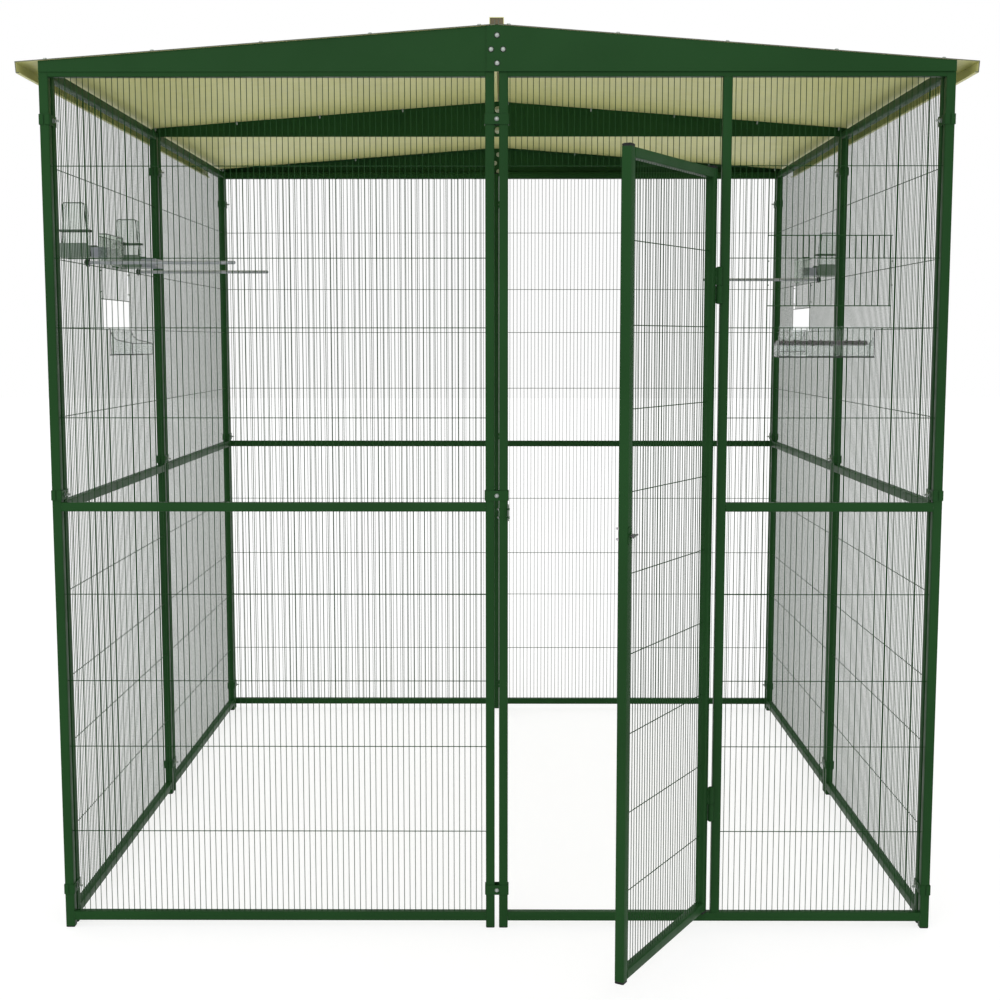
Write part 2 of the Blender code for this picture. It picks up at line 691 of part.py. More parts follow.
def trough_perch(start):
    """The knobbly rod that birds stand on, clipped over the front trough's lip."""
    inset = (TROUGH_LENGTH - TROUGH_PERCH_LENGTH) / 2
    face = MESH_BACK + CLEAR + TROUGH_DEPTH
    lip = SILL + BAR / 2 + CLEAR - TROUGH_HANG + TROUGH_LIP
    depth = face + CLEAR + TROUGH_PERCH_RADIUS + KNOB_RISE
    height = lip + 0.003
    pitch = TROUGH_PERCH_LENGTH / TROUGH_PERCH_KNOBS
    profile = [(0.0, TROUGH_PERCH_RADIUS)]
    for k in range(TROUGH_PERCH_KNOBS):
        centre = (k + 0.5) * pitch
        profile += [(centre - 0.006, TROUGH_PERCH_RADIUS), (centre - 0.002, TROUGH_PERCH_RADIUS + KNOB_RISE),
                    (centre + 0.002, TROUGH_PERCH_RADIUS + KNOB_RISE), (centre + 0.006, TROUGH_PERCH_RADIUS)]
    profile.append((TROUGH_PERCH_LENGTH, TROUGH_PERCH_RADIUS))
    rod = turned(profile, 7, (start + inset, depth, height), (1, 0, 0))
    near = face - TROUGH_WALL - CLEAR - CLIP_SHEET / 2
    seat = lip + CLEAR + CLIP_SHEET / 2
    clip = folded(((near, lip - CLIP_DROP), (near, seat), (depth, seat)), CLIP_SHEET)
    put = along("front")
    for middle in (start + inset + pitch, start + inset + TROUGH_PERCH_LENGTH - pitch):
        rod = union(rod, extrude(clip, middle - CLIP_WIDTH / 2, middle + CLIP_WIDTH / 2, put))
    return rod


def feeder_low():
    return SILL + SHORT_ROW + FEEDER_BOX_ABOVE_WIRE


def feeder(side, start):
    """A hopper feeder: seed box and hopper outside the mesh, and a cup on its inner side."""
    put = along(side)
    low = feeder_low()
    top = low + FEEDER_BOX_HEIGHT
    outside = MESH_FACE - CLEAR
    cup = MESH_BACK + CLEAR + FEEDER_CUP_DEPTH
    rim = low + FEEDER_CUP_HEIGHT
    box = (
        (outside - FEEDER_BOX_DEPTH, low), (cup - 0.003, low), (cup, low + 0.003), (cup, rim),
        (outside, rim), (outside - 0.008, top), (outside - FEEDER_BOX_DEPTH, top),
    )
    foot = outside - HOPPER_BACK
    hopper = (
        (foot - HOPPER_FOOT_DEPTH, top - 0.001), (foot, top - 0.001),
        (foot - HOPPER_LEAN, top + HOPPER_HEIGHT),
        (foot - HOPPER_LEAN - HOPPER_TOP_DEPTH, top + HOPPER_HEIGHT),
    )
    collar = top + HOPPER_RIM_ABOVE_BOX
    brim = (
        (foot - HOPPER_FOOT_DEPTH - 0.003, collar), (outside, collar),
        (outside, collar + HOPPER_RIM), (foot - HOPPER_FOOT_DEPTH - 0.003, collar + HOPPER_RIM),
    )
    inside = (
        (MESH_BACK + CLEAR + FEEDER_WALL, low + FEEDER_WALL), (cup - FEEDER_WALL - 0.002, low + FEEDER_WALL),
        (cup - FEEDER_WALL, low + FEEDER_WALL + 0.002), (cup - FEEDER_WALL, rim + 0.01),
        (MESH_BACK + CLEAR + FEEDER_WALL, rim + 0.01),
    )
    end = start + FEEDER_LENGTH
    body = union(
        extrude(box, start, end, put),
        extrude(hopper, start + 0.004, end - 0.004, put),
        extrude(brim, start + 0.001, end - 0.001, put))
    return cut(body, extrude(inside, start + FEEDER_WALL, end - FEEDER_WALL, put))


def guard(side, start):
    """A clear guard round the cup's inner side, with a short return at each end."""
    put = wall(side)
    near = MESH_BACK + CLEAR + FEEDER_CUP_DEPTH + CLEAR
    low = feeder_low() - GUARD_BELOW_CUP
    begin = start - CLEAR - GUARD_SHEET / 2
    end = begin + GUARD_LENGTH
    middle = near + GUARD_SHEET / 2
    path = ((begin, middle - GUARD_RETURN), (begin, middle), (end, middle), (end, middle - GUARD_RETURN))
    return extrude(folded(path, GUARD_SHEET), low, low + GUARD_HEIGHT, put)


def perch(side, at):
    """A perch rod through the mesh, with a washer on each side of it."""
    put = wall(side)
    height = SILL + SHORT_ROW + BAR / 2 + CLEAR + PERCH_RADIUS
    outer = MESH_FACE - CLEAR - PERCH_WASHER
    inner = MESH_BACK + CLEAR
    profile = (
        (0.0, PERCH_RADIUS), (0.004, PERCH_RADIUS), (0.004, PERCH_WASHER_RADIUS),
        (0.004 + PERCH_WASHER, PERCH_WASHER_RADIUS), (0.004 + PERCH_WASHER, PERCH_RADIUS),
        (inner - outer + 0.004, PERCH_RADIUS), (inner - outer + 0.004, PERCH_WASHER_RADIUS),
        (inner - outer + 0.004 + PERCH_WASHER, PERCH_WASHER_RADIUS),
        (inner - outer + 0.004 + PERCH_WASHER, PERCH_RADIUS),
        (MESH - outer + 0.004 + PERCH_REACH, PERCH_RADIUS),
    )
    origin = Vector(put(at, outer - 0.004, height))
    inward = Vector(put(at, 1.0, height)) - Vector(put(at, 0.0, height))
    return turned(profile, 9, origin, inward)


def build_panels(root):
    bars = {name: feeder_uprights(start) for name, start in FEEDER_STARTS.items()}
    near, far = SIDE_STARTS["near"], SIDE_STARTS["far"]
    left_bars = sorted({
        near + 0.158, bars["left_front"][0], *hatch_uprights(HATCH_STARTS["left"]), *bars["left_back"]})
    right_bars = sorted({
        far + 0.168, bars["right"][0], *hatch_uprights(HATCH_STARTS["right"]), far + 0.827})
    add("panel_front_left", plain_panel("front", -HALF_WIDTH), GREEN, root)
    add("panel_front_door", door_panel(HATCH_STARTS["front"]), GREEN, root)
    add("panel_left_front", plain_panel("left", near, left_bars, HATCH_STARTS["left"]), GREEN, root)
    add("panel_left_back", plain_panel("left", far), GREEN, root)
    add("panel_right_front", plain_panel("right", near), GREEN, root)
    add("panel_right_back", plain_panel("right", far, right_bars, HATCH_STARTS["right"]), GREEN, root)
    add("panel_back_left", plain_panel("back", -HALF_WIDTH), GREEN, root)
    add("panel_back_right", plain_panel("back", PANEL_GAP / 2), GREEN, root)


def build_clamps(root):
    pair = TUBE + PANEL_GAP / 2
    side_x = HALF_WIDTH - TUBE / 2
    middle_y = SIDE_STARTS["far"] - PANEL_GAP / 2
    places = (
        ("front", 0.0, TUBE / 2, 0),
        ("back", 0.0, DEPTH - TUBE / 2, 180),
        ("left", -side_x, middle_y, -90),
        ("right", side_x, middle_y, 90),
        ("corner_fl", -side_x, pair, -90),
        ("corner_fr", side_x, pair, 90),
        ("corner_bl", -side_x, DEPTH - pair, -90),
        ("corner_br", side_x, DEPTH - pair, 90),
    )
    pattern = clamp()
    for name, x, y, turn in places:
        for level, height in zip(("low", "mid", "top"), CLAMP_LEVELS):
            obj = add(f"clamp_{name}_{level}", pattern.copy(), GREEN, root)
            obj.location = (x, y, height)
            obj.rotation_euler = (0, 0, math.radians(turn))


def build_roof(root):
    stack = 2 * SHEET + 2 * CLEAR
    middle = SIDE_STARTS["far"] - PANEL_GAP / 2
    beams = (
        ("front", -stack, 1),
        ("middle", middle - SHEET - CLEAR / 2, 1),
        ("back", DEPTH + stack, -1),
    )
    for name, first, inward in beams:
        add(f"gable_{name}_left", gable_half(-1, first, inward), GREEN, root)
        add(f"gable_{name}_right", gable_half(1, first, inward), GREEN, root)
    add("roof_left", roof_sheet(-1), CREAM, root)
    add("roof_right", roof_sheet(1), CREAM, root)
    add("ridge_cap", ridge_cap(), CREAM, root)


def build_door(root):
    hinge = bpy.data.objects.new("door_axis", None)
    bpy.context.collection.objects.link(hinge)
    hinge.parent = root
    hinge.location = (*AXIS, 0)
    hinge.rotation_euler = (0, 0, DOOR_OPEN)
    add("door_leaf", door_leaf(), GREEN, hinge)
    add("latch_plate", latch_plate(), GREEN, hinge)
    add("latch_bolt", latch_bolt(), ZINC, hinge, 0.35, 0.8)
    add("latch_keep", latch_keep(), GREEN, root)


def build_fittings(root):
    for side, start in HATCH_STARTS.items():
        add(f"hatch_{side}", hatch(side, start, HATCH_RAISED[side]), GREEN, root)
        hung = trough(side, start + TROUGH_INSET[side])
        add(f"trough_{side}", hung, (0.75, 0.78, 0.76), root, 0.15, 0.0, 0.4)
    rod = trough_perch(HATCH_STARTS["front"] + TROUGH_INSET["front"])
    add("trough_perch", rod, (0.045, 0.03, 0.022), root, 0.6)
    for name, start in FEEDER_STARTS.items():
        side = FEEDER_PANELS[name][0]
        add(f"feeder_{name}", feeder(side, start), (0.05, 0.07, 0.06), root, 0.4)
        rod = perch(side, start - PERCH_TO_FEEDER[name])
        add(f"perch_{name}", rod, (0.20, 0.21, 0.23), root, 0.5)
    for side, name in GUARDED.items():
        shield = guard(side, FEEDER_STARTS[name])
        add(f"guard_{side}", shield, (0.25, 0.42, 0.28), root, 0.1, 0.0, 0.35)


def main():
    for obj in list(bpy.data.objects):
        bpy.data.objects.remove(obj)
    root = bpy.data.objects.new("aviary", None)
    bpy.context.collection.objects.link(root)
    root.location = (0, -PLAN_MIDDLE, 0)
    build_panels(root)
    build_clamps(root)
    build_roof(root)
    build_door(root)
    build_fittings(root)


main()
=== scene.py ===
# %% [markdown]
# # A garden aviary of welded panels and wire mesh
#
# The aviary is a room of eight welded panels, clamped together in pairs, under a folded sheet roof.
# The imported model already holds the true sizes, so every step here starts from a box that it gives
# and adds what the eye looks for: round wires at their real pitch, rounded tube, bent sheet, bolts
# and finishes. One unit is one metre, X runs to the right, Y to the back and Z up.

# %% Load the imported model
import json
import math
import random

import bpy
import numpy as np
from mathutils import Matrix, Vector


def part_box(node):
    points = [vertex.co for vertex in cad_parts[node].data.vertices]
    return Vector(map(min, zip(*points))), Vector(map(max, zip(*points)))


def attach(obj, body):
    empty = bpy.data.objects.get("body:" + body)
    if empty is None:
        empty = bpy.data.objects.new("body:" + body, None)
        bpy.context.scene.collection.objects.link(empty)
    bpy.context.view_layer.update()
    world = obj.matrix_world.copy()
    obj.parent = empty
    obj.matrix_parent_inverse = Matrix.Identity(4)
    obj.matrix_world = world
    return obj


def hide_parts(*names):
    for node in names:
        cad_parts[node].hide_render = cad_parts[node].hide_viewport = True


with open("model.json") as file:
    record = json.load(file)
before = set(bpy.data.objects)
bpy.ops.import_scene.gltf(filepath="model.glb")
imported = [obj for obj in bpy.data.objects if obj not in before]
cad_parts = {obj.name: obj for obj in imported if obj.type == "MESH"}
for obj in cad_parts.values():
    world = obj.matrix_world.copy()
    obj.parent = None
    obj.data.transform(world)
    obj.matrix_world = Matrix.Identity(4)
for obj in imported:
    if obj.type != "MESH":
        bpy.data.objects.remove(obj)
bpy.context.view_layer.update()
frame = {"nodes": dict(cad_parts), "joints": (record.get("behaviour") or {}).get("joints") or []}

# %% [markdown]
# ## Four walls as four sheets of paper
#
# Every wall is the same joinery, seen from another side. A 4 x 4 matrix per wall lets us draw each
# piece once, as if on paper: u runs along the wall, t goes in from its outer face, and z is height.
# We could place copies by hand instead, but one matrix can't put the fourth wall out of line. On
# two of the walls the paper is turned over, which a negative determinant tells us.

# %% Wall frames
TUBE = 0.020
front_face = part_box("panel_front_left")[0].y
back_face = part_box("panel_back_left")[1].y
left_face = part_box("panel_left_front")[0].x
right_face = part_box("panel_right_front")[1].x


def wall_frame(along, inward, origin):
    turned_over = Matrix((along, inward, (0, 0, 1))).transposed().to_4x4()
    return Matrix.Translation(origin) @ turned_over


WALLS = {
    "front": wall_frame((1, 0, 0), (0, 1, 0), (0, front_face, 0)),
    "back": wall_frame((1, 0, 0), (0, -1, 0), (0, back_face, 0)),
    "left": wall_frame((0, 1, 0), (1, 0, 0), (left_face, front_face, 0)),
    "right": wall_frame((0, 1, 0), (-1, 0, 0), (right_face, front_face, 0)),
}
ROOM = Matrix.Identity(4)


def box_on(node, place):
    """A node's box in the coordinates of a wall or of the door leaf: low and high (u, t, z)."""
    solid = frame["nodes"][node]
    to_place = place.inverted() @ solid.matrix_world
    points = [to_place @ vertex.co for vertex in solid.data.vertices]
    return tuple(Vector([edge(point[k] for point in points) for k in range(3)]) for edge in (min, max))


print("walls", {side: [round(v, 4) for v in place.translation] for side, place in WALLS.items()})

# %% [markdown]
# ## Camera
#
# The photograph was taken from a little above the door bolt, tilted down about six degrees. The lens
# value gives the same angle of view on Blender's 36 mm sensor, so the lines of the walls run to
# the same vanishing point.

# %% Camera
def in_scene(name, data):
    """A new object in the scene, for a mesh, a lamp or the camera."""
    made = bpy.data.objects.new(name, data)
    bpy.context.scene.collection.objects.link(made)
    return made


camera_data = bpy.data.cameras.new("camera")
camera_data.lens = 52.87
camera_data.sensor_width = 36.0
camera = in_scene("camera", camera_data)
camera.location = (0.0204, -4.0740837, 1.3435)
camera.rotation_euler = (math.radians(83.7811), 0.0, math.radians(0.232))
bpy.context.scene.camera = camera
print("camera", tuple(round(v, 3) for v in camera.location))

# %% [markdown]
# ## Small helpers for node materials
#
# A real finish is never one flat colour. Three kinds of node do most of the work: noise that varies
# slowly or finely over the piece, a range that picks out part of that noise, and a mix that turns it
# into colour. The texture coordinates are the object's own, in metres, so a grain of 2 mm is 2 mm on
# each piece, and it travels with the door when it opens.

# %% Material helpers
def fill(tree, node, inputs):
    """Gives inputs of a node a plain value each, or the output of another node."""
    for key, value in inputs.items():
        socket = node.inputs[key]
        if isinstance(value, bpy.types.NodeSocket):
            tree.links.new(value, socket)
        else:
            socket.default_value = (*value, 1.0) if socket.type == "RGBA" else value


def add(tree, kind, inputs=(), **settings):
    """Adds a node of a kind and hands back its outputs."""
    node = tree.nodes.new("ShaderNode" + kind)
    for key, value in settings.items():
        setattr(node, key, value)
    fill(tree, node, dict(inputs))
    return node.outputs


def new_material(name):
    made = bpy.data.materials.new(name)
    made.use_nodes = True
    return made, made.node_tree, made.node_tree.nodes["Principled BSDF"]


def grain(tree, scale, stretch=(1, 1, 1), detail=2.0, roughness=0.5):
    """Noise of about 1 / scale metres, stretched along an axis by a small factor there."""
    place = add(tree, "TexCoord")["Object"]
    place = add(tree, "Mapping", {"Vector": place, "Scale": stretch})["Vector"]
    kind = {"Scale": scale, "Detail": detail, "Roughness": roughness}
    return add(tree, "TexNoise", {"Vector": place, **kind})["Fac"]


def spread(tree, value, low, high, to_low=0.0, to_high=1.0):
    """Maps low..high of a value onto to_low..to_high, held at both ends."""
    ends = {"From Min": low, "From Max": high, "To Min": to_low, "To Max": to_high}
    return add(tree, "MapRange", {"Value": value, **ends})["Result"]


def times(tree, first, second):
    return add(tree, "Math", {0: first, 1: second}, operation="MULTIPLY")["Value"]


def mixed(tree, share, first, second):
    """A colour between two; a Mix node has its colours in inputs 6 and 7 and in output 2."""
    return add(tree, "Mix", {0: share, 6: first, 7: second}, data_type="RGBA")[2]


def bumps(tree, height, depth):
    return add(tree, "Bump", {"Strength": 1.0, "Height": height, "Distance": depth})["Normal"]


def shaded(colour, amount):
    return tuple(min(1.0, part * amount) for part in colour)


def near_edges(tree, reach):
    """1 close to an edge and 0 on a flat face: a bevelled normal leaves the true one at edges."""
    rounded = add(tree, "Bevel", {"Radius": reach}, samples=4)["Normal"]
    shape = add(tree, "NewGeometry")["Normal"]
    agree = add(tree, "VectorMath", {0: rounded, 1: shape}, operation="DOT_PRODUCT")["Value"]
    return spread(tree, agree, 0.88, 0.99, 1.0, 0.0)


def facing_along(tree, axis):
    """1 where the surface faces straight along the object's own X, Y or Z."""
    parts = add(tree, "SeparateXYZ", {"Vector": add(tree, "TexCoord")["Normal"]})
    size = add(tree, "Math", {0: parts[axis]}, operation="ABSOLUTE")["Value"]
    return spread(tree, size, 0.80, 0.95)


print("helpers ready")

# %% [markdown]
# ## Green powder coat
#
# The panels are sprayed with powder and baked. Up close such paint has a fine orange peel, clouds
# that are a shade lighter or darker, and rubbed spots on outer edges where panels knock together in
# a stack. A Bevel node finds those edges whatever the mesh is like, and noise breaks their line up,
# so the rubbing comes in spots. The wires are too thin to show it, so they go without.

# %% Green powder coat
GREEN = (0.0150, 0.0600, 0.0162)


def powder_coat(name, colour, rubbed=None, peel=0.00006):
    made, tree, shader = new_material(name)
    clouds = spread(tree, grain(tree, 3.0), 0.32, 0.68)
    tone = mixed(tree, clouds, shaded(colour, 0.90), shaded(colour, 1.10))
    specks = spread(tree, grain(tree, 900.0, detail=1.0), 0.64, 0.74)
    tone = mixed(tree, times(tree, specks, 0.35), tone, shaded(colour, 0.62))
    if rubbed:
        spots = spread(tree, grain(tree, 130.0, detail=4.0, roughness=0.65), 0.54, 0.66, 0.0, 0.6)
        tone = mixed(tree, times(tree, near_edges(tree, 0.0012), spots), tone, rubbed)
    fill(tree, shader, {
        "Base Color": tone, "Specular IOR Level": 0.06,
        "Roughness": spread(tree, grain(tree, 25.0), 0.3, 0.7, 0.34, 0.46),
        "Normal": bumps(tree, grain(tree, 700.0, detail=1.0), peel)})
    return made


green_paint = powder_coat("green_powder_coat", GREEN, (0.085, 0.125, 0.085))
wire_paint = powder_coat("green_wire_coat", shaded(GREEN, 0.85), peel=0.00003)
strap_paint = powder_coat("green_strap_coat", GREEN)
print("finishes", green_paint.name, wire_paint.name, strap_paint.name)

# %% [markdown]
# ## Cream coated sheet
#
# The roof is steel sheet, coated in a roll before it is folded. Its colour is more even than powder
# coat, but the roller leaves a faint streak along the sheet, and rain leaves a little dust. Its cut
# front and back ends are grey steel, painted a dark olive there as shade.

# %% Cream sheet
CREAM = (0.69, 0.68, 0.295)
SHADED_CUT_END = (0.115, 0.125, 0.095)   # the sheet's cut ends: grey steel, darkened to olive as painted shade


def coated_sheet(name, colour, shaded_end=None):
    made, tree, shader = new_material(name)
    streaks = spread(tree, grain(tree, 14.0, stretch=(1.0, 0.08, 1.0)), 0.35, 0.65)
    tone = mixed(tree, streaks, shaded(colour, 0.965), shaded(colour, 1.03))
    dust = spread(tree, grain(tree, 5.0, detail=5.0, roughness=0.62), 0.52, 0.74)
    tone = mixed(tree, times(tree, dust, 0.16), tone, shaded(colour, 0.68))
    # faces along the object's Y, the cut ends, take the dark painted shade
    if shaded_end:
        tone = mixed(tree, facing_along(tree, "Y"), tone, shaded_end)
    fill(tree, shader, {
        "Base Color": tone, "Specular IOR Level": 0.2,
        "Roughness": spread(tree, grain(tree, 30.0), 0.3, 0.7, 0.38, 0.5),
        "Normal": bumps(tree, grain(tree, 420.0), 0.00005)})
    return made


roof_cream = coated_sheet("cream_roll_coat", CREAM, SHADED_CUT_END)
cap_cream = coated_sheet("cream_cap_coat", shaded(CREAM, 0.8))
print("finishes", roof_cream.name, cap_cream.name)

# %% [markdown]
# ## Zinc, plastics and wood
#
# Bolts are zinc plated, which is metallic with a cloudy, slightly rough skin. The plugs, the seed
# boxes and the perches are moulded plastic, told apart by colour and by how fine their grain is.
# The hoppers, troughs and guards are clear: light passes through them and only their edges look
# dark. Facing, from Layer Weight, deepens the tint where we look along the sheet, as real acrylic
# does.

# %% Zinc and opaque plastics
def zinc_plate(name, colour, gloss=(0.28, 0.50)):
    made, tree, shader = new_material(name)
    clouds = spread(tree, grain(tree, 260.0, detail=3.0), 0.35, 0.7)
    fill(tree, shader, {
        "Base Color": mixed(tree, clouds, shaded(colour, 0.8), colour), "Metallic": 0.85,
        "Roughness": spread(tree, grain(tree, 400.0), 0.3, 0.7, *gloss),
        "Normal": bumps(tree, grain(tree, 1500.0, detail=1.0), 0.00003)})
    return made


def moulded(name, colour, matt, shine=0.3, fine=1200.0, depth=0.00004, clouds=40.0):
    made, tree, shader = new_material(name)
    skin = grain(tree, fine)
    share = spread(tree, grain(tree, clouds, detail=3.0), 0.3, 0.7)
    fill(tree, shader, {
        "Base Color": mixed(tree, share, shaded(colour, 0.86), shaded(colour, 1.12)),
        "Specular IOR Level": shine, "Normal": bumps(tree, skin, depth),
        "Roughness": spread(tree, skin, 0.3, 0.7, matt - 0.07, matt + 0.08)})
    return made


zinc = zinc_plate("bright_zinc", (0.40, 0.44, 0.41))
dark_zinc = zinc_plate("dark_zinc", (0.15, 0.145, 0.15))
dull_zinc = zinc_plate("dull_zinc", (0.52, 0.56, 0.43), (0.60, 0.75))
pale_zinc = zinc_plate("pale_zinc", (0.72, 0.69, 0.72), (0.50, 0.65))
black_plug = moulded("black_plug_plastic", (0.012, 0.013, 0.013), 0.55, 0.2)
box_plastic = moulded("seed_box_plastic", (0.250, 0.295, 0.262), 0.42)
cup_plastic = moulded("cup_plastic", (0.270, 0.285, 0.320), 0.4)
rim_plastic = moulded("smoked_rim_plastic", (0.105, 0.125, 0.110), 0.45)
# dark plastic for the perches' washers and nut, and for beads that paint shade on clear edges
dark_plastic_and_edge_shade = moulded("dark_washer_and_edge_shade", (0.035, 0.042, 0.038), 0.45)
# dark green wire along the guards' edges and corners, painted shade
guard_edge_shade = moulded("green_edge_shade", (0.020, 0.045, 0.026), 0.35, 0.5)
# dark strips inside the ridge cap's ends stand for the shade inside the cap
end_shade_finish = moulded("ridge_end_shade", (0.130, 0.105, 0.060), 0.75, 0.5, fine=700.0, depth=0.0003)
perch_plastic = moulded("perch_plastic", (0.31, 0.33, 0.35), 0.45, 0.5, 700.0, clouds=60.0)
print("finishes", zinc.name, dark_zinc.name, box_plastic.name, cup_plastic.name, perch_plastic.name)

# %% Clear plastics and dark wood
def clear_plastic(name, face_tint, edge_tint):
    made, tree, shader = new_material(name)
    facing = add(tree, "LayerWeight", {"Blend": 0.5})["Facing"]
    scuffs = spread(tree, grain(tree, 160.0, stretch=(1.0, 0.3, 1.0), detail=4.0), 0.62, 0.80)
    tint = mixed(tree, spread(tree, facing, 0.60, 1.0), face_tint, edge_tint)
    tint = mixed(tree, times(tree, scuffs, 0.12), tint, shaded(face_tint, 0.8))
    fill(tree, shader, {
        "Base Color": tint, "Transmission Weight": 0.96, "IOR": 1.10,
        "Roughness": spread(tree, grain(tree, 90.0), 0.3, 0.75, 0.0, 0.05),
        "Normal": bumps(tree, grain(tree, 25.0, detail=0.0), 0.00008)})
    return made


def dark_wood_finish(name):
    made, tree, shader = new_material(name)
    bark = grain(tree, 130.0, stretch=(0.25, 1.0, 1.0), detail=5.0, roughness=0.65)
    tone = mixed(tree, spread(tree, bark, 0.35, 0.7), (0.008, 0.0065, 0.006), (0.034, 0.025, 0.021))
    matt = spread(tree, bark, 0.3, 0.7, 0.5, 0.72)
    fill(tree, shader, {"Base Color": tone, "Roughness": matt, "Normal": bumps(tree, bark, 0.0006)})
    return made


trough_clear = clear_plastic("trough_clear", (0.93, 0.95, 0.94), (0.45, 0.52, 0.50))
hopper_clear = clear_plastic("hopper_clear", (0.95, 0.97, 0.955), (0.40, 0.46, 0.43))
guard_clear = clear_plastic("guard_green_clear", (0.72, 0.79, 0.72), (0.20, 0.30, 0.22))
bark_brown = dark_wood_finish("dark_branch_wood")
print("finishes", trough_clear.name, hopper_clear.name, guard_clear.name, bark_brown.name)

# %% [markdown]
# ## Three shapes that make nearly everything
#
# Steel goods are made of few moves: a bar of even section, a turned part and a bent sheet. Each is a
# stack of rings of points with a skin round it, and each helper returns plain points and faces. We
# could scale Blender's own primitives instead, but a section listed point by point can have the rounded
# corners that real tube has, and thousands of wires join into one mesh at once.

# %% Bars and turned parts
def circle(radius, sides):
    angles = [2 * math.pi * (k + 0.5) / sides for k in range(sides)]
    return [(radius * math.cos(a), radius * math.sin(a)) for a in angles]


def rounded_square(width, depth, radius):
    """A rectangle's outline, centred, with each corner an arc of three steps."""
    outline = []
    for k, (right, up) in enumerate(((1, 1), (-1, 1), (-1, -1), (1, -1))):
        for step in range(4):
            angle = math.radians(90 * (k + step / 3))
            outline.append((right * (width / 2 - radius) + radius * math.cos(angle),
                            up * (depth / 2 - radius) + radius * math.sin(angle)))
    return outline


def ring_faces(sides, rings):
    """The skin over a stack of rings, closed at both ends."""
    faces = [tuple(range(sides))[::-1], tuple(range(sides * (rings - 1), sides * rings))]
    for low in range(0, sides * (rings - 1), sides):
        faces += [(low + k, low + (k + 1) % sides, low + sides + (k + 1) % sides, low + sides + k)
                  for k in range(sides)]
    return faces


def stacked(rings, axis, at):
    """Outlines at distances along axis 0 (u), 1 (t) or 2 (z); at is their centre on the others."""
    sides = len(rings[0][1])
    points = np.zeros((len(rings), sides, 3))
    for ring, (distance, outline) in zip(points, rings):
        ring[:, axis] = distance
        ring[:, (axis + 1) % 3], ring[:, (axis + 2) % 3] = np.add(outline, at).T
    return points.reshape(-1, 3), ring_faces(sides, len(rings))


def bar(outline, start, end, axis, at=(0.0, 0.0)):
    """An even section from start to end along an axis."""
    if sum(p * s - r * q for (p, q), (r, s) in zip(outline, outline[1:] + outline[:1])) < 0:
        outline = outline[::-1]      # faces look outwards only if the outline turns left
    return stacked([(start, outline), (end, outline)], axis, at)


def turned(profile, axis=2, at=(0.0, 0.0), sides=16):
    """A turned part, from pairs of distance along the axis and radius."""
    return stacked([(distance, circle(radius, sides)) for distance, radius in profile], axis, at)


print("a tube has", len(bar(rounded_square(TUBE, TUBE, 0.0018), 0, 1, 2)[1]), "faces")

# %% [markdown]
# ## Bent sheet and bent wire
#
# Sheet is folded over a round nose, so each bend has a radius. We round the corners of the path
# that the sheet follows, then step half a thickness to each side. Bent wire is a circle carried
# along such a path.

# %% Rounded paths and folds
def round_corners(path, radius, steps=4):
    """Replaces each inner corner of a flat path by a short arc."""
    points = [Vector(p) for p in path]
    made = [points[0]]
    for before, corner, after in zip(points, points[1:], points[2:]):
        back, on = (before - corner).normalized(), (after - corner).normalized()
        half = back.angle(on) / 2
        shorter = min((before - corner).length, (after - corner).length)
        reach = min(radius / math.tan(half), 0.49 * shorter)
        middle = corner + (back + on).normalized() * reach / math.cos(half)
        start, end = corner + back * reach - middle, corner + on * reach - middle
        for step in range(steps + 1):
            made.append(middle + start.normalized().slerp(end.normalized(), step / steps) * start.length)
    return made + [points[-1]]


def fold(path, thickness, radius):
    """The outline of a sheet that follows a path of (p, q)."""
    points = round_corners(path, radius)
    runs = [(b - a).normalized() for a, b in zip(points, points[1:])]
    sides = [Vector((-run.y, run.x)) for run in runs]
    middles = [(before + after).normalized() for before, after in zip(sides, sides[1:])]
    offsets = [sides[0], *(middle / middle.dot(side) for middle, side in zip(middles, sides)), sides[-1]]
    left = [p + o * thickness / 2 for p, o in zip(points, offsets)]
    right = [p - o * thickness / 2 for p, o in zip(points, offsets)]
    return [tuple(p) for p in right + left[::-1]]


def wire(path, radius, sides=8):
    """Round wire along a path of 3-D points."""
    points = [Vector(p) for p in path]
    normal = (points[1] - points[0]).orthogonal()
    made = []
    for before, point, after in zip(points[:1] + points, points, points[1:] + points[-1:]):
        run = (after - before).normalized()
        normal = (normal - run * normal.dot(run)).normalized()
        side = run.cross(normal)
        made += [tuple(point + normal * p + side * q) for p, q in circle(radius, sides)]
    return np.array(made), ring_faces(sides, len(points))


print("a fold's outline has", len(fold(((0, 0), (1, 0), (1, 1)), 0.1, 0.2)), "points")

# %% [markdown]
# ## Joining shapes into a piece
#
# A piece is one object. It gets its mesh from a list of shapes, its place from a wall's matrix, its
# finish, the body that it moves with, and the imported node that it stands for, which is hidden. A small
# bevel modifier rounds the edges that no section has rounded yet.

# %% Piece maker
pieces = []


def joined(name, shapes, place, material):
    """One mesh from many shapes, smooth where two faces meet at less than 35 degrees."""
    points, faces = [], []
    for shape_points, shape_faces in shapes:
        faces += [tuple(len(points) + k for k in face) for face in shape_faces]
        points += map(tuple, shape_points)
    mesh = bpy.data.meshes.new(name)
    mesh.from_pydata(points, [], faces)
    mesh.transform(place)
    if place.determinant() < 0:
        mesh.flip_normals()
    mesh.shade_smooth()
    mesh.set_sharp_from_angle(angle=math.radians(35))
    mesh.materials.append(material)
    return mesh


def round_edges(made, width):
    modifier = made.modifiers.new("rounded edges", "BEVEL")
    modifier.width, modifier.segments = width, 2
    modifier.limit_method, modifier.angle_limit = "ANGLE", math.radians(30)
    modifier.harden_normals = True


def settle(name, mesh, stands_for=None, body="cage", bevel=0.0):
    """Makes the object for a mesh, hangs it on its body and hides the node that it stands for."""
    made = in_scene(name, mesh)
    if bevel:
        round_edges(made, bevel)
    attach(made, body)
    if stands_for:
        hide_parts(stands_for)
    pieces.append(made)


def piece(name, shapes, material, place=ROOM, stands_for=None, body="cage", bevel=0.0):
    settle(name, joined(name, shapes, place, material), stands_for, body, bevel)


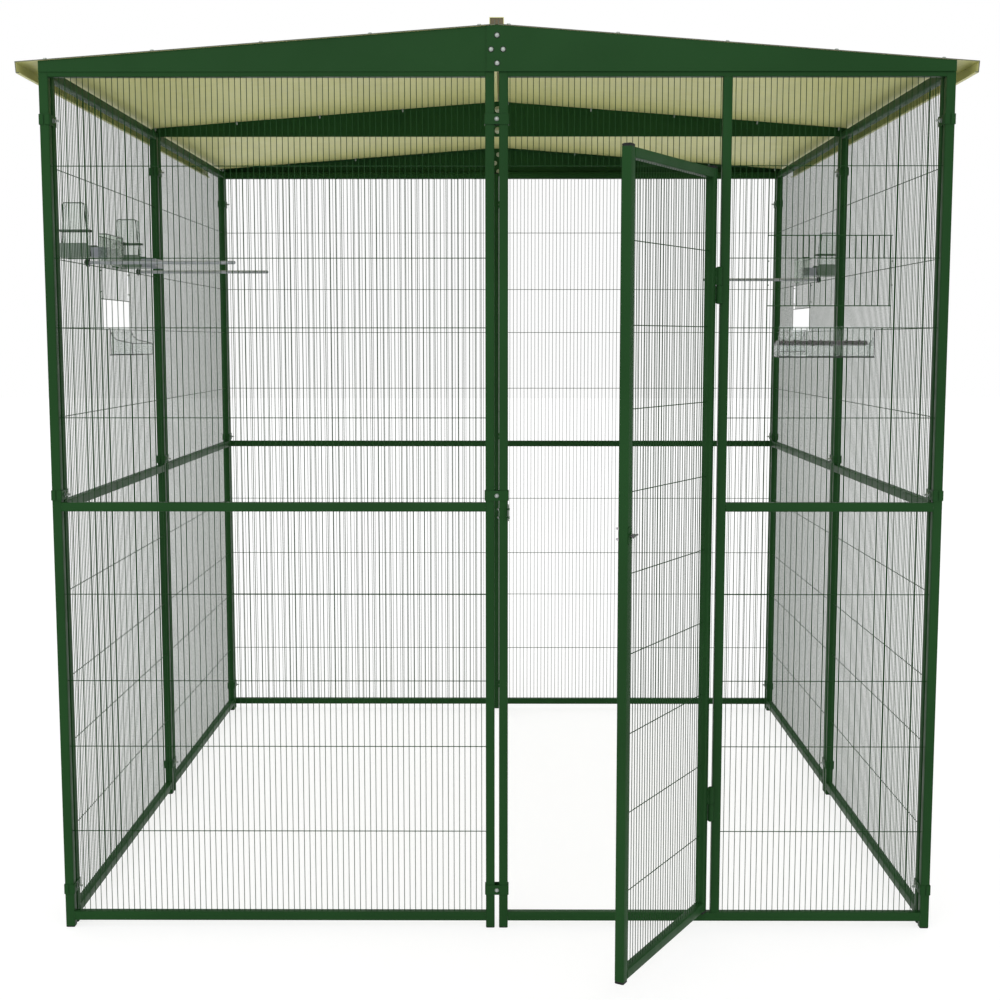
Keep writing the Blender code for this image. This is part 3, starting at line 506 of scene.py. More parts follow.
# %% [markdown]
# ## Square tube frames
#
# A panel's frame is 20 mm tube with 1.8 mm corners: two uprights that run past the rails as short
# legs, and rails cut square and welded between them. Each weld shows as a small bead down the seam
# on both faces, under the paint. The beads are too small for the far view, but near by they are what
# makes the frame a welded one.

# %% Tube frames
CORNER = 0.0018
PLUG = 0.003                     # height of a plug's cap at a tube's end
WELD_DEPTH = 0.0004              # how far a tube's end sinks into the tube it is welded to
BEAD_LINES = (0.0003, TUBE - 0.0003)         # the beads' middles, just inside both faces
RAILS = (0.027, 0.973, 1.919)
tube_section = rounded_square(TUBE, TUBE, CORNER)
wobble = random.Random(7)


def weld_bead(at, low, high, reach=0.0011, axis=2, steps=9):
    """A lumpy bead along a seam; at is its place on the other two axes."""
    profile = []
    for step in range(steps + 1):
        share = step / steps
        end = min(1.0, 6 * share, 6 * (1 - share))
        swell = reach * (0.35 + 0.65 * end) * (0.85 + 0.3 * wobble.random())
        profile.append((low + (high - low) * share, swell))
    return turned(profile, axis, at, sides=6)


def upright(u, low, high):
    """A tube on end; u is its near edge."""
    return bar(tube_section, low, high, 2, (u + TUBE / 2, TUBE / 2))


def rail(z, start, end):
    """A rail between two uprights, with a bead at each end on both faces."""
    return [bar(tube_section, start - WELD_DEPTH, end + WELD_DEPTH, 0, (TUBE / 2, z)),
            *(weld_bead((u, t), z - 0.0085, z + 0.0085) for u in (start, end) for t in BEAD_LINES)]


def post_between(u, low, high):
    """An upright that stands on one rail and ends under another, welded to both."""
    return [upright(u, low - WELD_DEPTH, high + WELD_DEPTH),
            *(weld_bead((t, z), u + 0.0015, u + TUBE - 0.0015, axis=0)
              for z in (low, high) for t in BEAD_LINES)]


def end_caps(uprights, low, high, tall, step, narrower):
    """Black caps beyond both ends of each tube, whose face is a smaller step."""
    shapes = []
    for u in uprights:
        for level, out in ((low, -1), (high, 1)):
            for less, a, b in zip(narrower, (0.0, tall - step), (tall - step, tall)):
                outline = rounded_square(TUBE - less, TUBE - less, CORNER)
                start, end = sorted((level + out * a, level + out * b))
                shapes.append(bar(outline, start, end, 2, (u + TUBE / 2, TUBE / 2)))
    return shapes


print("section of a tube", len(tube_section), "points")

# %% [markdown]
# ## Wire mesh at its real pitch
#
# The mesh is welded from 1.6 mm uprights every 12.7 mm and a few 2 mm level wires. The uprights lie
# on one side of the level wires, touching them, and every end runs into a tube. A texture with a
# see-through pattern would be lighter, but it has no thickness and leaves nothing for the finished
# mesh file. Real rods with eight sides are still light.
#
# Where a hatch, a seed box or a perch comes through, the wires stop short, so we cut each wire by a
# list of openings before we make it.

# %% Wire mesh
PITCH = 0.0127
UPRIGHT_WIRE = 0.0008            # radius
LEVEL_WIRE = 0.0010
WIRE_ROOT = 0.003                # length of each wire's end inside its tube
MESH_PLANE = TUBE / 2
upright_section = circle(UPRIGHT_WIRE, 8)
level_section = circle(LEVEL_WIRE, 8)


def left_over(start, end, gaps):
    """The stretches of start..end that no gap takes away."""
    stretches = [(start, end)]
    for low, high in gaps:
        kept = []
        for a, b in stretches:
            kept += [(x, y) for x, y in ((a, min(b, low)), (max(a, high), b)) if y - x > 1e-6]
        stretches = kept
    return stretches


def wire_field(inner, heights, levels, openings=()):
    """Welded mesh between tubes; openings are (u, U, z, Z) rectangles without wire."""
    shapes = []
    count = int((inner[1] - inner[0]) / PITCH - 0.5) + 1
    margin = (inner[1] - inner[0] - (count - 1) * PITCH) / 2
    for k in range(count):
        u = inner[0] + margin + k * PITCH
        gaps = [(z, Z) for low, high, z, Z in openings if low < u < high]
        for a, b in left_over(heights[0] - WIRE_ROOT, heights[1] + WIRE_ROOT, gaps):
            shapes.append(bar(upright_section, a, b, 2, (u, MESH_PLANE - UPRIGHT_WIRE)))
    for z in levels:
        gaps = [(low, high) for low, high, a, b in openings if a < z < b]
        for a, b in left_over(inner[0] - WIRE_ROOT, inner[1] + WIRE_ROOT, gaps):
            shapes.append(bar(level_section, a, b, 0, (MESH_PLANE + LEVEL_WIRE, z)))
    return shapes


print("wires across a panel", int(0.946 / PITCH))

# %% [markdown]
# ## What comes through the mesh
#
# Three hatches, three seed boxes and three perches sit on the mesh. Their own nodes say where, so
# the openings come from their boxes and stay right if the part is made in another size. A hatch's
# opening keeps one wire on each side, and small bent hooks on it hold the flap.

# %% Openings in the mesh
SILL = 1.370                     # level wire under each hatch
SHORT_ROW = 0.152
GUIDE_WIRE = 0.0009
HATCHES = {"front": "panel_front_door", "left": "panel_left_front", "right": "panel_right_back"}
FEEDERS = {"left_front": "panel_left_front", "left_back": "panel_left_front", "right": "panel_right_back"}


def side_of(panel):
    return panel.split("_")[1]


def has_hatch(panel):
    return panel in HATCHES.values()


def openings_in(panel):
    side = side_of(panel)
    found = []
    if has_hatch(panel):
        low, high = box_on(f"hatch_{side}", WALLS[side])
        found.append((low.x + 0.0015, high.x - 0.0015, SILL + 0.0005, SILL + SHORT_ROW - 0.0005))
    for name, home in FEEDERS.items():
        if home != panel:
            continue
        low, high = box_on(f"feeder_{name}", WALLS[side])
        found.append((low.x - 0.001, high.x + 0.001, low.z - 0.0006, low.z + 0.0246))
        rod_low, rod_high = box_on(f"perch_{name}", WALLS[side])
        middle = (rod_low + rod_high) / 2
        found.append((middle.x - 0.0052, middle.x + 0.0052, middle.z - 0.0042, middle.z + 0.0048))
    return found


for panel in sorted(set(HATCHES.values())):
    print(panel, "has", len(openings_in(panel)), "openings")

# %% Hooks and guide wires of a hatch
HOOK_HEIGHTS = (0.093, 0.145)    # above the sill wire
HOOK_TALL = 0.0022


def hatch_guides(side):
    """Wires up both sides of an opening, and four bent hooks that hold the flap."""
    low, high = box_on(f"hatch_{side}", WALLS[side])
    shapes = []
    for u, out in ((low.x, -1), (high.x, 1)):
        shapes.append(bar(circle(GUIDE_WIRE, 8), SILL - 0.001, SILL + SHORT_ROW + 0.001, 2,
                          (u + out * 0.0005, MESH_PLANE - GUIDE_WIRE)))
        for above in HOOK_HEIGHTS:
            near, far, middle = u - out * 0.0020, u + out * 0.0012, SILL + above
            hook = fold(((near, 0.0037), (far, 0.0037), (far, MESH_PLANE - 0.001))[::out], 0.0008, 0.0012)
            shapes.append(bar(hook, middle - HOOK_TALL / 2, middle + HOOK_TALL / 2, 2))
    return shapes


print("hooks per hatch", 2 * len(HOOK_HEIGHTS))

# %% [markdown]
# ## The seven plain panels and the one with the doorway
#
# Seven panels differ only in what hangs on them. The eighth has a doorway on its left: its middle
# rail stops at the door post, which stands on the bottom rail and ends under the top one, and a strip
# of mesh hangs from the top rail over the leaf. Each panel becomes three pieces, one to a finish.

# %% Make the panels
LEVELS = (0.2255, 0.4240, 0.5760, 0.7745, 1.1715, 1.3700, 1.5220, 1.7205)
TOP = 1.929
DOORWAY = (0.025, 0.490)
PANELS = ("panel_front_left", "panel_left_front", "panel_left_back", "panel_right_front",
          "panel_right_back", "panel_back_left", "panel_back_right")


def panel_wires(panel, inner):
    """The mesh above and below the middle rail, with the guides of a hatch."""
    wires = hatch_guides(side_of(panel)) if has_hatch(panel) else []
    for low, high in zip(RAILS, RAILS[1:]):
        heights = (low + TUBE / 2, high - TUBE / 2)
        levels = [z for z in LEVELS if heights[0] < z < heights[1]]
        wires += wire_field(inner, heights, levels, openings_in(panel))
    return wires


def make_panel(panel, uprights, rails, wires, post=()):
    tubes = [upright(u, PLUG, TOP - PLUG) for u in uprights]
    tubes += [shape for one in rails for shape in rail(*one)] + list(post)
    plugs = end_caps(uprights, PLUG, TOP - PLUG, PLUG, 0.0008, (0.0004, 0.0030))
    for kind, shapes, finish in (("frame", tubes, green_paint), ("mesh", wires, wire_paint),
                                 ("plugs", plugs, black_plug)):
        piece(panel.replace("panel", kind), shapes, finish, WALLS[side_of(panel)], panel)
    print(panel, "has", len(wires), "wires")


for panel in PANELS:
    low, high = box_on(panel, WALLS[side_of(panel)])
    inner = (low.x + TUBE, high.x - TUBE)
    make_panel(panel, (low.x, inner[1]), [(z, *inner) for z in RAILS], panel_wires(panel, inner))

# %% Make the door panel
low, high = box_on("panel_front_door", WALLS["front"])
bay = (DOORWAY[1] + TUBE, high.x - TUBE)
rails = [(RAILS[0], DOORWAY[0], bay[1]), (RAILS[1], *bay), (RAILS[2], DOORWAY[0], bay[1])]
over_leaf = (LEVELS[-1] - LEVEL_WIRE + WIRE_ROOT, RAILS[2] - TUBE / 2)
wires = panel_wires("panel_front_door", bay) + wire_field(DOORWAY, over_leaf, [LEVELS[-1]])
post = post_between(DOORWAY[1], RAILS[0] + TUBE / 2, RAILS[2] - TUBE / 2)
make_panel("panel_front_door", (low.x, bay[1]), rails, wires, post)

# %% [markdown]
# ## The door leaf
#
# The leaf is a smaller frame of the same tube, hung on the post. It is drawn shut, with the hinge's
# axis as its origin, then turned by the angle at which it stands open. The door's joint knows that
# angle: it is the way back to shut.

# %% Door leaf
hinge = next(joint for joint in frame["joints"] if joint["name"] == "door_hinge")
AXIS_OUT = 0.005                 # the axis lies this far ahead of the front faces
LEAF = (Matrix.Translation((hinge["pos_m"][0], hinge["pos_m"][1], 0.0))
        @ Matrix.Rotation(math.radians(-hinge["range_deg"][0]), 4, "Z")
        @ Matrix.Translation((0.0, AXIS_OUT, 0.0)))
LEAF_FREE = 0.4505
STILES = (-LEAF_FREE, -0.0245)
LEAF_LOW, LEAF_HIGH = 0.047, 1.712
LEAF_LEVELS = [0.2255 + 0.1638 * k for k in range(9)]
leaf_inner = (STILES[0] + TUBE, STILES[1])

shapes = [upright(u, LEAF_LOW, LEAF_HIGH) for u in STILES]
for z in (LEAF_LOW + TUBE / 2, LEAF_HIGH - TUBE / 2):
    shapes += rail(z, *leaf_inner)
leaf_wires = wire_field(leaf_inner, (LEAF_LOW + TUBE, LEAF_HIGH - TUBE), LEAF_LEVELS)
caps = end_caps(STILES, LEAF_LOW, LEAF_HIGH, 0.006, 0.0012, (0.0003, 0.0040))
for name, shapes, finish in (("leaf_frame", shapes, green_paint), ("leaf_mesh", leaf_wires, wire_paint),
                             ("leaf_caps", caps, black_plug)):
    piece(name, shapes, finish, LEAF, "door_leaf", "door")
print("leaf", len(leaf_wires), "wires and", len(caps) // 2, "caps")

# %% [markdown]
# ## Weld-on hinges
#
# Each hinge is two turned barrels. The lower one holds a pin and is welded to the post, the upper
# one drops over the pin and is welded to the leaf, so the leaf can be lifted off. Their edges are
# chamfered and their outer ends domed, as turned parts are.

# %% Hinges
KNUCKLE = 0.039
HINGE_LEVELS = (0.256, 1.423)


def barrel(low, high, domed, centre):
    """A barrel with a dome on its upper end (1) or its lower end (-1)."""
    radius, chamfer = 0.0070, 0.0007
    start, end = (low, high)[::domed]
    profile = [(start, radius - chamfer), (start + domed * chamfer, radius),
               (end - domed * chamfer, radius)]
    for out, narrowed in ((0.0006, 0.0058), (0.0012, 0.0048), (0.0017, 0.0029), (0.0019, 0.0007)):
        profile.append((end + domed * out, narrowed))
    return turned(profile[::domed], 2, centre, 24)


def weld_tab(sign, low, high, centre):
    """The tongue between a barrel and the tube's front face, with a bead along its root."""
    outline = rounded_square(0.0085, 0.0030, 0.0008)
    return [bar(outline, low + 0.001, high - 0.001, 2, (centre[0] + sign * 0.0048, centre[1] + 0.0032)),
            weld_bead((centre[0] + sign * 0.0086, centre[1] + 0.0046), low + 0.001, high - 0.001, 0.0014)]


post_axis = (hinge["pos_m"][0], -AXIS_OUT)
leaf_axis = (0.0, -AXIS_OUT)
lower, upper = [], []
for level in HINGE_LEVELS:
    middle, top = level + KNUCKLE, level + 2 * KNUCKLE
    pin = [(middle - 0.002, 0.003), (top - 0.004, 0.003), (top - 0.003, 0.0021)]
    lower += [barrel(level + 0.0004, middle, -1, post_axis), *weld_tab(1, level, middle, post_axis),
              turned(pin, 2, post_axis)]
    upper += [barrel(middle + 0.0003, top, 1, leaf_axis), *weld_tab(-1, middle, top, leaf_axis)]
piece("hinge_lower_knuckles", lower, green_paint, WALLS["front"], "panel_front_door")
piece("hinge_upper_knuckles", upper, green_paint, LEAF, "door_leaf", "door")
print("hinges", len(HINGE_LEVELS))

# %% [markdown]
# ## Bolts, nuts and screws
#
# All the small fasteners are turned or six-sided, so one helper per kind will do. They are drawn at
# the origin, pointing along an axis, and then moved into place.

# %% Fastener helpers
def moved(shapes, place):
    """Shapes carried to a place by a matrix."""
    turn, shift = np.array(place.to_3x3()).T, np.array(place.translation)
    return [(points @ turn + shift, faces) for points, faces in shapes]


def pointing(direction, place):
    """A matrix that takes +z to a direction and the origin to a place."""
    turn = Vector(direction).normalized().to_track_quat("Z", "Y").to_matrix().to_4x4()
    return Matrix.Translation(place) @ turn


def shank(radius, low, high, sides=12):
    """A plain round rod, or a washer if it is short."""
    return turned([(low, radius), (high, radius)], sides=sides)


def dome_head(radius, height, at=0.0):
    """A round head from at, towards -z."""
    curve = ((1.0, 0.25), (0.93, 0.55), (0.7, 0.82), (0.3, 1.0), (0.0, 1.0))
    return turned([(at - height * up, radius * out) for up, out in curve], sides=20)


def hex_nut(radius, height, at=0.0):
    """A nut from at towards +z, with both ends chamfered."""
    curve = ((0.0, 0.9), (0.15, 1.0), (0.85, 1.0), (1.0, 0.9))
    return turned([(at + height * up, radius * out) for up, out in curve], sides=6)


def thread(radius, low, high, turn=0.0009):
    """A screwed rod with its ridges, closed by a small cone."""
    profile = []
    for k in range(max(2, int((high - low - 0.001) / turn))):
        profile += [(low + k * turn, radius * 0.88), (low + (k + 0.5) * turn, radius)]
    return turned(profile + [(high - 0.0006, radius * 0.88), (high, radius * 0.6)], sides=12)


def screw_and_nut(grip, shaft, ridges, nut, tall, end):
    """A screw's shaft through a grip, with its nut and the thread that shows beyond it."""
    return [shank(shaft, 0.0, grip), hex_nut(nut, tall, grip),
            thread(ridges, grip + tall - 0.0002, grip + end)]


print("fasteners ready")

# %% [markdown]
# ## Clamps
#
# Two folded straps go round each pair of tubes, and one bolt through the gap between the panels
# draws them together. The strap is a sheet bent twice over a 3 mm nose. All 24 are the same, so the
# mesh is made once and copied.

# %% Clamps
CLAMP_TALL = 0.0225
STRAP = 0.0018
half_span, half_depth = 0.0271 - STRAP / 2, 0.0121 - STRAP / 2
strap_shapes = []
for out in (-1, 1):
    path = ((-half_span, out * 0.0016), (-half_span, out * half_depth),
            (half_span, out * half_depth), (half_span, out * 0.0016))
    strap_shapes.append(bar(fold(path[::-out], STRAP, 0.0026), -CLAMP_TALL / 2, CLAMP_TALL / 2, 2))
strap_pattern = joined("strap", strap_shapes, ROOM, strap_paint)

face = half_depth + STRAP / 2
bolt_shapes = [
    shank(0.0048, -face - 0.0008, -face, 20), dome_head(0.0044, 0.0032, -face - 0.0008),
    shank(0.0025, -face, face), shank(0.0056, face, face + 0.0009, 20),
    hex_nut(0.0048, 0.0040, face + 0.0009), thread(0.0025, face + 0.0045, face + 0.0125),
]
TURNS = {"front": 0, "back": 180, "left": -90, "right": 90,
         "corner_fl": -90, "corner_bl": -90, "corner_fr": 90, "corner_br": 90}
for where, degrees in TURNS.items():
    turn = Matrix.Rotation(math.radians(degrees), 4, "Z")
    bolts = []
    for level in ("low", "mid", "top"):
        low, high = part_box(f"clamp_{where}_{level}")
        centre = Matrix.Translation((low + high) / 2) @ turn
        strap = strap_pattern.copy()
        strap.transform(centre)
        settle(f"strap_{where}_{level}", strap, f"clamp_{where}_{level}", bevel=0.0004)
        bolts += moved(bolt_shapes, centre @ Matrix.Rotation(math.radians(-90), 4, "X"))
    piece(f"clamp_bolts_{where}", bolts, zinc, stands_for=f"clamp_{where}_low")
print("clamps", 3 * len(TURNS))

# %% [markdown]
# ## Gables, roof sheets and ridge cap
#
# These are folded sheet of even thickness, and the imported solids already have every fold. They need
# a finish and rounded edges, which the bevel modifier adds without touching the mesh itself.

# %% Finish the folded sheets
def refinish(node, material, rounding=0.0004):
    """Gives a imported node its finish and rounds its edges."""
    solid = frame["nodes"][node]
    for held in solid.material_slots:
        held.material = material
    round_edges(solid, rounding)


for half in ("left", "right"):
    for where in ("front", "middle", "back"):
        refinish(f"gable_{where}_{half}", green_paint)
    refinish(f"roof_{half}", roof_cream)
refinish("ridge_cap", cap_cream)
print("sheets finished")

# %% [markdown]
# ## Screws in the roof and bolts in the ridge
#
# Drilling screws go through each sheet into a beam's upper flange. Their washered heads stand on the
# cream sheet and their tips come out below it. Where the two halves of a beam lap, four small bolts
# in a diamond hold them.

# %% Roof screws
ROOF_SLOPE = 0.0745 / 0.990
SCREW_STEPS = [0.0318 + 0.2360 * k for k in range(4)] + [0.9720]
SCREW_MIDDLE = -0.0058           # the rows are set out from here
SCREW_ROWS = {"front": 0.58, "middle": -0.25, "back": -0.20}    # shares of each beam's depth
ridge_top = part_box("gable_front_right")[1].z + 0.0023
tip = turned([(-0.0118, 0.0002), (-0.0092, 0.0022)], sides=12)
skirt = turned([(0.0, 0.0062), (0.0010, 0.0066), (0.0016, 0.0050)], sides=20)
screw = [skirt, hex_nut(0.0042, 0.0036, 0.0014), thread(0.0026, -0.0092, 0.0), tip]
screws = []
for where, share in SCREW_ROWS.items():
    low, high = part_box(f"gable_{where}_left")
    for x in SCREW_STEPS:
        for side in (-1, 1):
            across = SCREW_MIDDLE + side * x
            place = (across, low.y + share * (high.y - low.y), ridge_top - abs(across) * ROOF_SLOPE)
            screws += moved(screw, pointing((side * ROOF_SLOPE, 0.0, 1.0), place))
piece("roof_screws", screws, zinc)
print("roof screws", 2 * len(SCREW_STEPS) * len(SCREW_ROWS))

# %% Ridge bolts
DIAMOND = ((0.001, 1.9946), (0.001, 1.9360), (-0.012, 1.9650), (0.014, 1.9650))
RIDGE_BOLTS = {"front": (0.0, 0.0062, 0.0030), "middle": (-0.0040, 0.0090, 0.0026),
               "back": (-0.0074, 0.0090, 0.0006)}    # shift, radius of the ring under each head, head's height
# at the front the ring under each head is black, a painted shade ring; inside it is a zinc washer
bolts, inner_bolts, shade_rings = [], [], []
for where, (shift, broad, tall) in RIDGE_BOLTS.items():
    low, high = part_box(f"gable_{where}_right")
    outer, inward = (high.y, -1) if where == "back" else (low.y, 1)
    head_ring = turned([(-0.0008, broad - 0.0005), (-0.0005, broad), (0.0, broad)], sides=24)
    bolt = [dome_head(0.0050, tall, -0.0008), thread(0.0020, 0.0, 0.0095),
            shank(0.0078, 0.0043, 0.0051, 24), hex_nut(0.0048, 0.0030, 0.0051)]
    for x, z in DIAMOND:
        place = pointing((0.0, inward, 0.0), (x + shift, outer, z))
        (shade_rings if where == "front" else inner_bolts).extend(moved([head_ring], place))
        (bolts if where == "front" else inner_bolts).extend(moved(bolt, place))
piece("ridge_bolts_front", bolts, zinc)
piece("ridge_bolts_inside", inner_bolts, dull_zinc)
piece("ridge_shade_rings", shade_rings, black_plug)
print("ridge bolts", len(DIAMOND) * len(RIDGE_BOLTS))

# %% Dark strips inside the ridge cap's ends, painted shade
low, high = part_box("ridge_cap")
inside = rounded_square(high.z - low.z - 0.0022, high.x - low.x - 0.0036, 0.0012)
middle = (low.z + high.z) / 2 - 0.0009
strips = [bar(inside, start, start + 0.020, 1, (middle, 0.0))
          for start in (low.y + 0.0015, high.y - 0.0215)]
piece("ridge_end_shade_strips", strips, end_shade_finish)
print("closed the ends of the cap")

# %% [markdown]
# ## The door's bolt
#
# A short rod slides in one saddle of bent strip, with a flat round knob at its free end. Drawn
# higher, it would be easier to grip, but the photograph shows it almost flush with the stile. The
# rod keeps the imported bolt's line, so it still meets the hole in the keep. Two machine screws go
# right through the stile and hold the plate, with their nuts on the inner face. Two more hold the
# keep, and their nuts show in the gap between the two front panels.

# %% Door bolt
plate_low, plate_high = box_on("latch_plate", LEAF)
tip = box_on("latch_bolt", LEAF)[0].x
ROD = 0.0019
ROD_OUT = -0.0075                # the rod's middle, ahead of the stile
rod_z = (plate_low.z + plate_high.z) / 2
sheet = rounded_square(plate_high.z - plate_low.z, plate_high.x - plate_low.x, 0.003)
foot, crown = -0.0020, ROD_OUT - 0.0030
rise = ((foot, 0.0078), (foot, 0.0034), (crown, 0.0032))
saddle = [(t, rod_z - z) for t, z in rise] + [(t, rod_z + z) for t, z in rise[::-1]]
shapes = [bar(sheet, -0.0016, -0.0003, 1, (rod_z, (plate_low.x + plate_high.x) / 2)),
          bar(fold(saddle, 0.0010, 0.0010), tip + 0.0085, tip + 0.0118, 0)]
piece("bolt_plate", shapes, green_paint, LEAF, "latch_plate", "door", 0.0003)

rounding = ((0.0, 0.6), (0.0008, 0.9), (0.0020, 1.0), (0.0292, 1.0), (0.0300, 0.8))
rod = [(tip + x, ROD * share) for x, share in rounding]
disc = [(ROD_OUT + t, radius) for t, radius in ((-0.0036, 0.0036), (-0.0033, 0.0046), (-0.0027, 0.0050),
                                                (-0.0021, 0.0045), (-0.0018, 0.0018), (0.0, 0.0016))]
shapes = [turned(rod, 0, (ROD_OUT, rod_z), 20), turned(disc, 1, (rod_z, tip + 0.0044), 28)]
piece("bolt_rod", shapes, dark_zinc, LEAF, "latch_bolt", "latch")
refinish("latch_keep", green_paint, 0.0003)

# %% Screws of the bolt and the keep
PLATE_FACE, KEEP_FACE = 0.0016, 0.0023      # how far the screws' heads stand off the tubes
heads, shapes = [], []
for z in (0.9736, 0.9520):
    place = pointing((0.0, 1.0, 0.0), (-LEAF_FREE + TUBE / 2, -PLATE_FACE, z))
    heads += moved([dome_head(0.0028, 0.0007)], place)
    shapes += moved(screw_and_nut(TUBE + PLATE_FACE, 0.0019, 0.0024, 0.0050, 0.0045, 0.0090), place)
piece("latch_screw_heads", heads, strap_paint, LEAF, body="door")
piece("latch_screws", shapes, pale_zinc, LEAF, body="door")

screw = [dome_head(0.0030, 0.0016),
         *screw_and_nut(TUBE + KEEP_FACE, 0.0017, 0.0017, 0.0030, 0.0024, 0.0046)]
places = [pointing((-1.0, 0.0, 0.0), (DOORWAY[0] + KEEP_FACE, TUBE / 2, z)) for z in (0.9679, 0.9488)]
piece("keep_screws", [shape for place in places for shape in moved(screw, place)], zinc, WALLS["front"])
print("latch screws", 2 + len(places))

# %% [markdown]
# ## Feed hatches
#
# A hatch is an off-cut of the same mesh: fine uprights between two thicker bars, whose ends are cut
# square. It lies on the outer side of the wall and slides up between four hooks. On the side walls
# its last upright stops short, which leaves a slit beside it. Each flap rides on a body of its own,
# so it can be shut.

# %% Hatches
FLAP_BAR = 0.0011
SLIT = {"front": 0.004, "left": 0.021, "right": 0.021}
for side, slit in SLIT.items():
    low, high = box_on(f"hatch_{side}", WALLS[side])
    depth = (low.y + high.y) / 2
    shapes = [bar(circle(FLAP_BAR, 10), low.x, high.x, 0, (depth + 0.0004, z))
              for z in (low.z + FLAP_BAR, high.z - FLAP_BAR)]
    first, last = low.x + 0.004, high.x - slit
    bottom, top = low.z + 0.0004, high.z - 0.0004
    shapes += [bar(circle(0.0007, 8), bottom, top, 2, (last - k * PITCH, depth - 0.0008))
               for k in range(int((last - first) / PITCH) + 1)]
    piece(f"flap_{side}", shapes, wire_paint, WALLS[side], f"hatch_{side}", f"hatch_{side}")
    print("flap", side, "has", len(shapes) - 2, "uprights")

# %% [markdown]
# ## Clear troughs and the branch in front
#
# The troughs are moulded in clear plastic. A clear solid needs real thickness to bend the light at
# its edges, so the imported solids with their 2 mm walls stay. At this distance what we see of a clear
# box is its dark edges, where the light is trapped, so a fine dark bead runs along each of them as painted
# shade.
# The branch on the front trough is a real twig: uneven, with the stubs of cut shoots.

# %% Troughs
TROUGH_LIP = 0.0289              # height of the low front wall
# radius of the dark beads, painted shade along the troughs' edges
SHADE_BEAD = 0.0009
TROUGH_DEEP = 0.0567
TROUGH_END = ((0.0, 0.0), (TROUGH_DEEP, 0.0005), (TROUGH_DEEP, TROUGH_LIP),
              (0.017, 0.038), (0.006, 0.047), (0.0014, 0.060))
for side in HATCHES:
    refinish(f"trough_{side}", trough_clear, 0.0006)
    low, high = box_on(f"trough_{side}", WALLS[side])
    corners = [(high.y - TROUGH_DEEP + t, low.z + z) for t, z in TROUGH_END]
    shade_beads = [wire([(u, t, z) for t, z in corners], SHADE_BEAD)
             for u in (low.x + SHADE_BEAD, high.x - SHADE_BEAD)]
    shade_beads += [bar(circle(SHADE_BEAD * thick, 8), low.x, high.x, 0, corner)
              for corner, thick in zip(corners, (1.7, 1.7, 1.0))]
    piece(f"trough_edge_shade_{side}", shade_beads, dark_plastic_and_edge_shade, WALLS[side])
print("troughs", len(HATCHES))

# %% The branch and its clips
trough_low, trough_high = box_on("trough_front", WALLS["front"])
rod_low, rod_high = box_on("trough_perch", WALLS["front"])
BRANCH = 0.0058
STUBS = ((0.08, 80), (0.20, 100), (0.37, 90), (0.49, 85), (0.61, 260), (0.77, 85), (0.91, 95))
twig = (rod_high.y - 0.0064, rod_high.z - 0.0066)
lumps = random.Random(11)


def along_twig(share):
    return rod_low.x + share * (rod_high.x - rod_low.x)


steps = 90
profile = []
for k in range(steps + 1):
    share = k / steps
    node = max(0.0, math.cos(share * 13.0 + 0.6) * math.cos(share * 31.0)) ** 3
    swell = BRANCH * (0.90 + 0.10 * lumps.random()) + 0.0011 * node
    profile.append((along_twig(share), swell * (0.8 if k in (0, steps) else 1.0)))
shapes = [turned(profile, 0, twig, 14)]
stub = turned([(0.0, 0.0034), (0.0018, 0.0028), (0.0034, 0.0024), (0.0038, 0.0014)], sides=10)
for share, angle in STUBS:
    lean = math.radians(angle)
    way = Vector((0.35, math.cos(lean), math.sin(lean)))
    shapes += moved([stub], pointing(way, Vector((along_twig(share), *twig)) + way * BRANCH * 0.7))
piece("branch", shapes, bark_brown, WALLS["front"], "trough_perch")

lip = trough_low.z + TROUGH_LIP
near = trough_high.y - 0.0029
clip = fold(((near, lip - 0.007), (near, lip + 0.0009), (twig[0] - 0.001, lip + 0.0009)), 0.0012, 0.0012)
clips = [bar(clip, u - 0.003, u + 0.003, 0) for u in (along_twig(0.2), along_twig(0.8))]
piece("branch_clips", clips, trough_clear, WALLS["front"], "trough_perch")
print("branch", round(rod_high.x - rod_low.x, 3), "long, stubs", len(STUBS))

# %% [markdown]
# ## Seed feeders
#
# A feeder is a grey-green tray outside the wall, a clear hopper that stands in it, a dark rim round
# the hopper and a grey cup inside the wall. Seed falls from the hopper to the tray and slides through
# to the cup. The hopper is much shorter along the wall than the tray, and both have their inner top
# corner cut away where the mesh comes down.

# %% Feeders
HOPPER_LONG = 0.028
WALL = 0.002                     # thickness of tray and cup
HOPPER_WALL = 0.0016
INSET = WALL / 2 + 0.0002        # keeps the folded walls clear of the end plates' edges
MESH_OUT, MESH_IN = 0.0082, 0.0118


def boxed(walls, end, low, high, plate, inside):
    """Folded walls that start inside both ends, and an end plate at each."""
    return [bar(walls, low + inside, high - inside, 0), bar(end, low, low + plate, 0),
            bar(end, high - plate, high, 0)]


def floor_and_wall(near, far, z, top):
    """A sheet folded once: the floor runs from near to far and the wall stands up there."""
    return fold(((near, z + INSET), (far, z + INSET), (far, top - 0.0002)), WALL, 0.002)


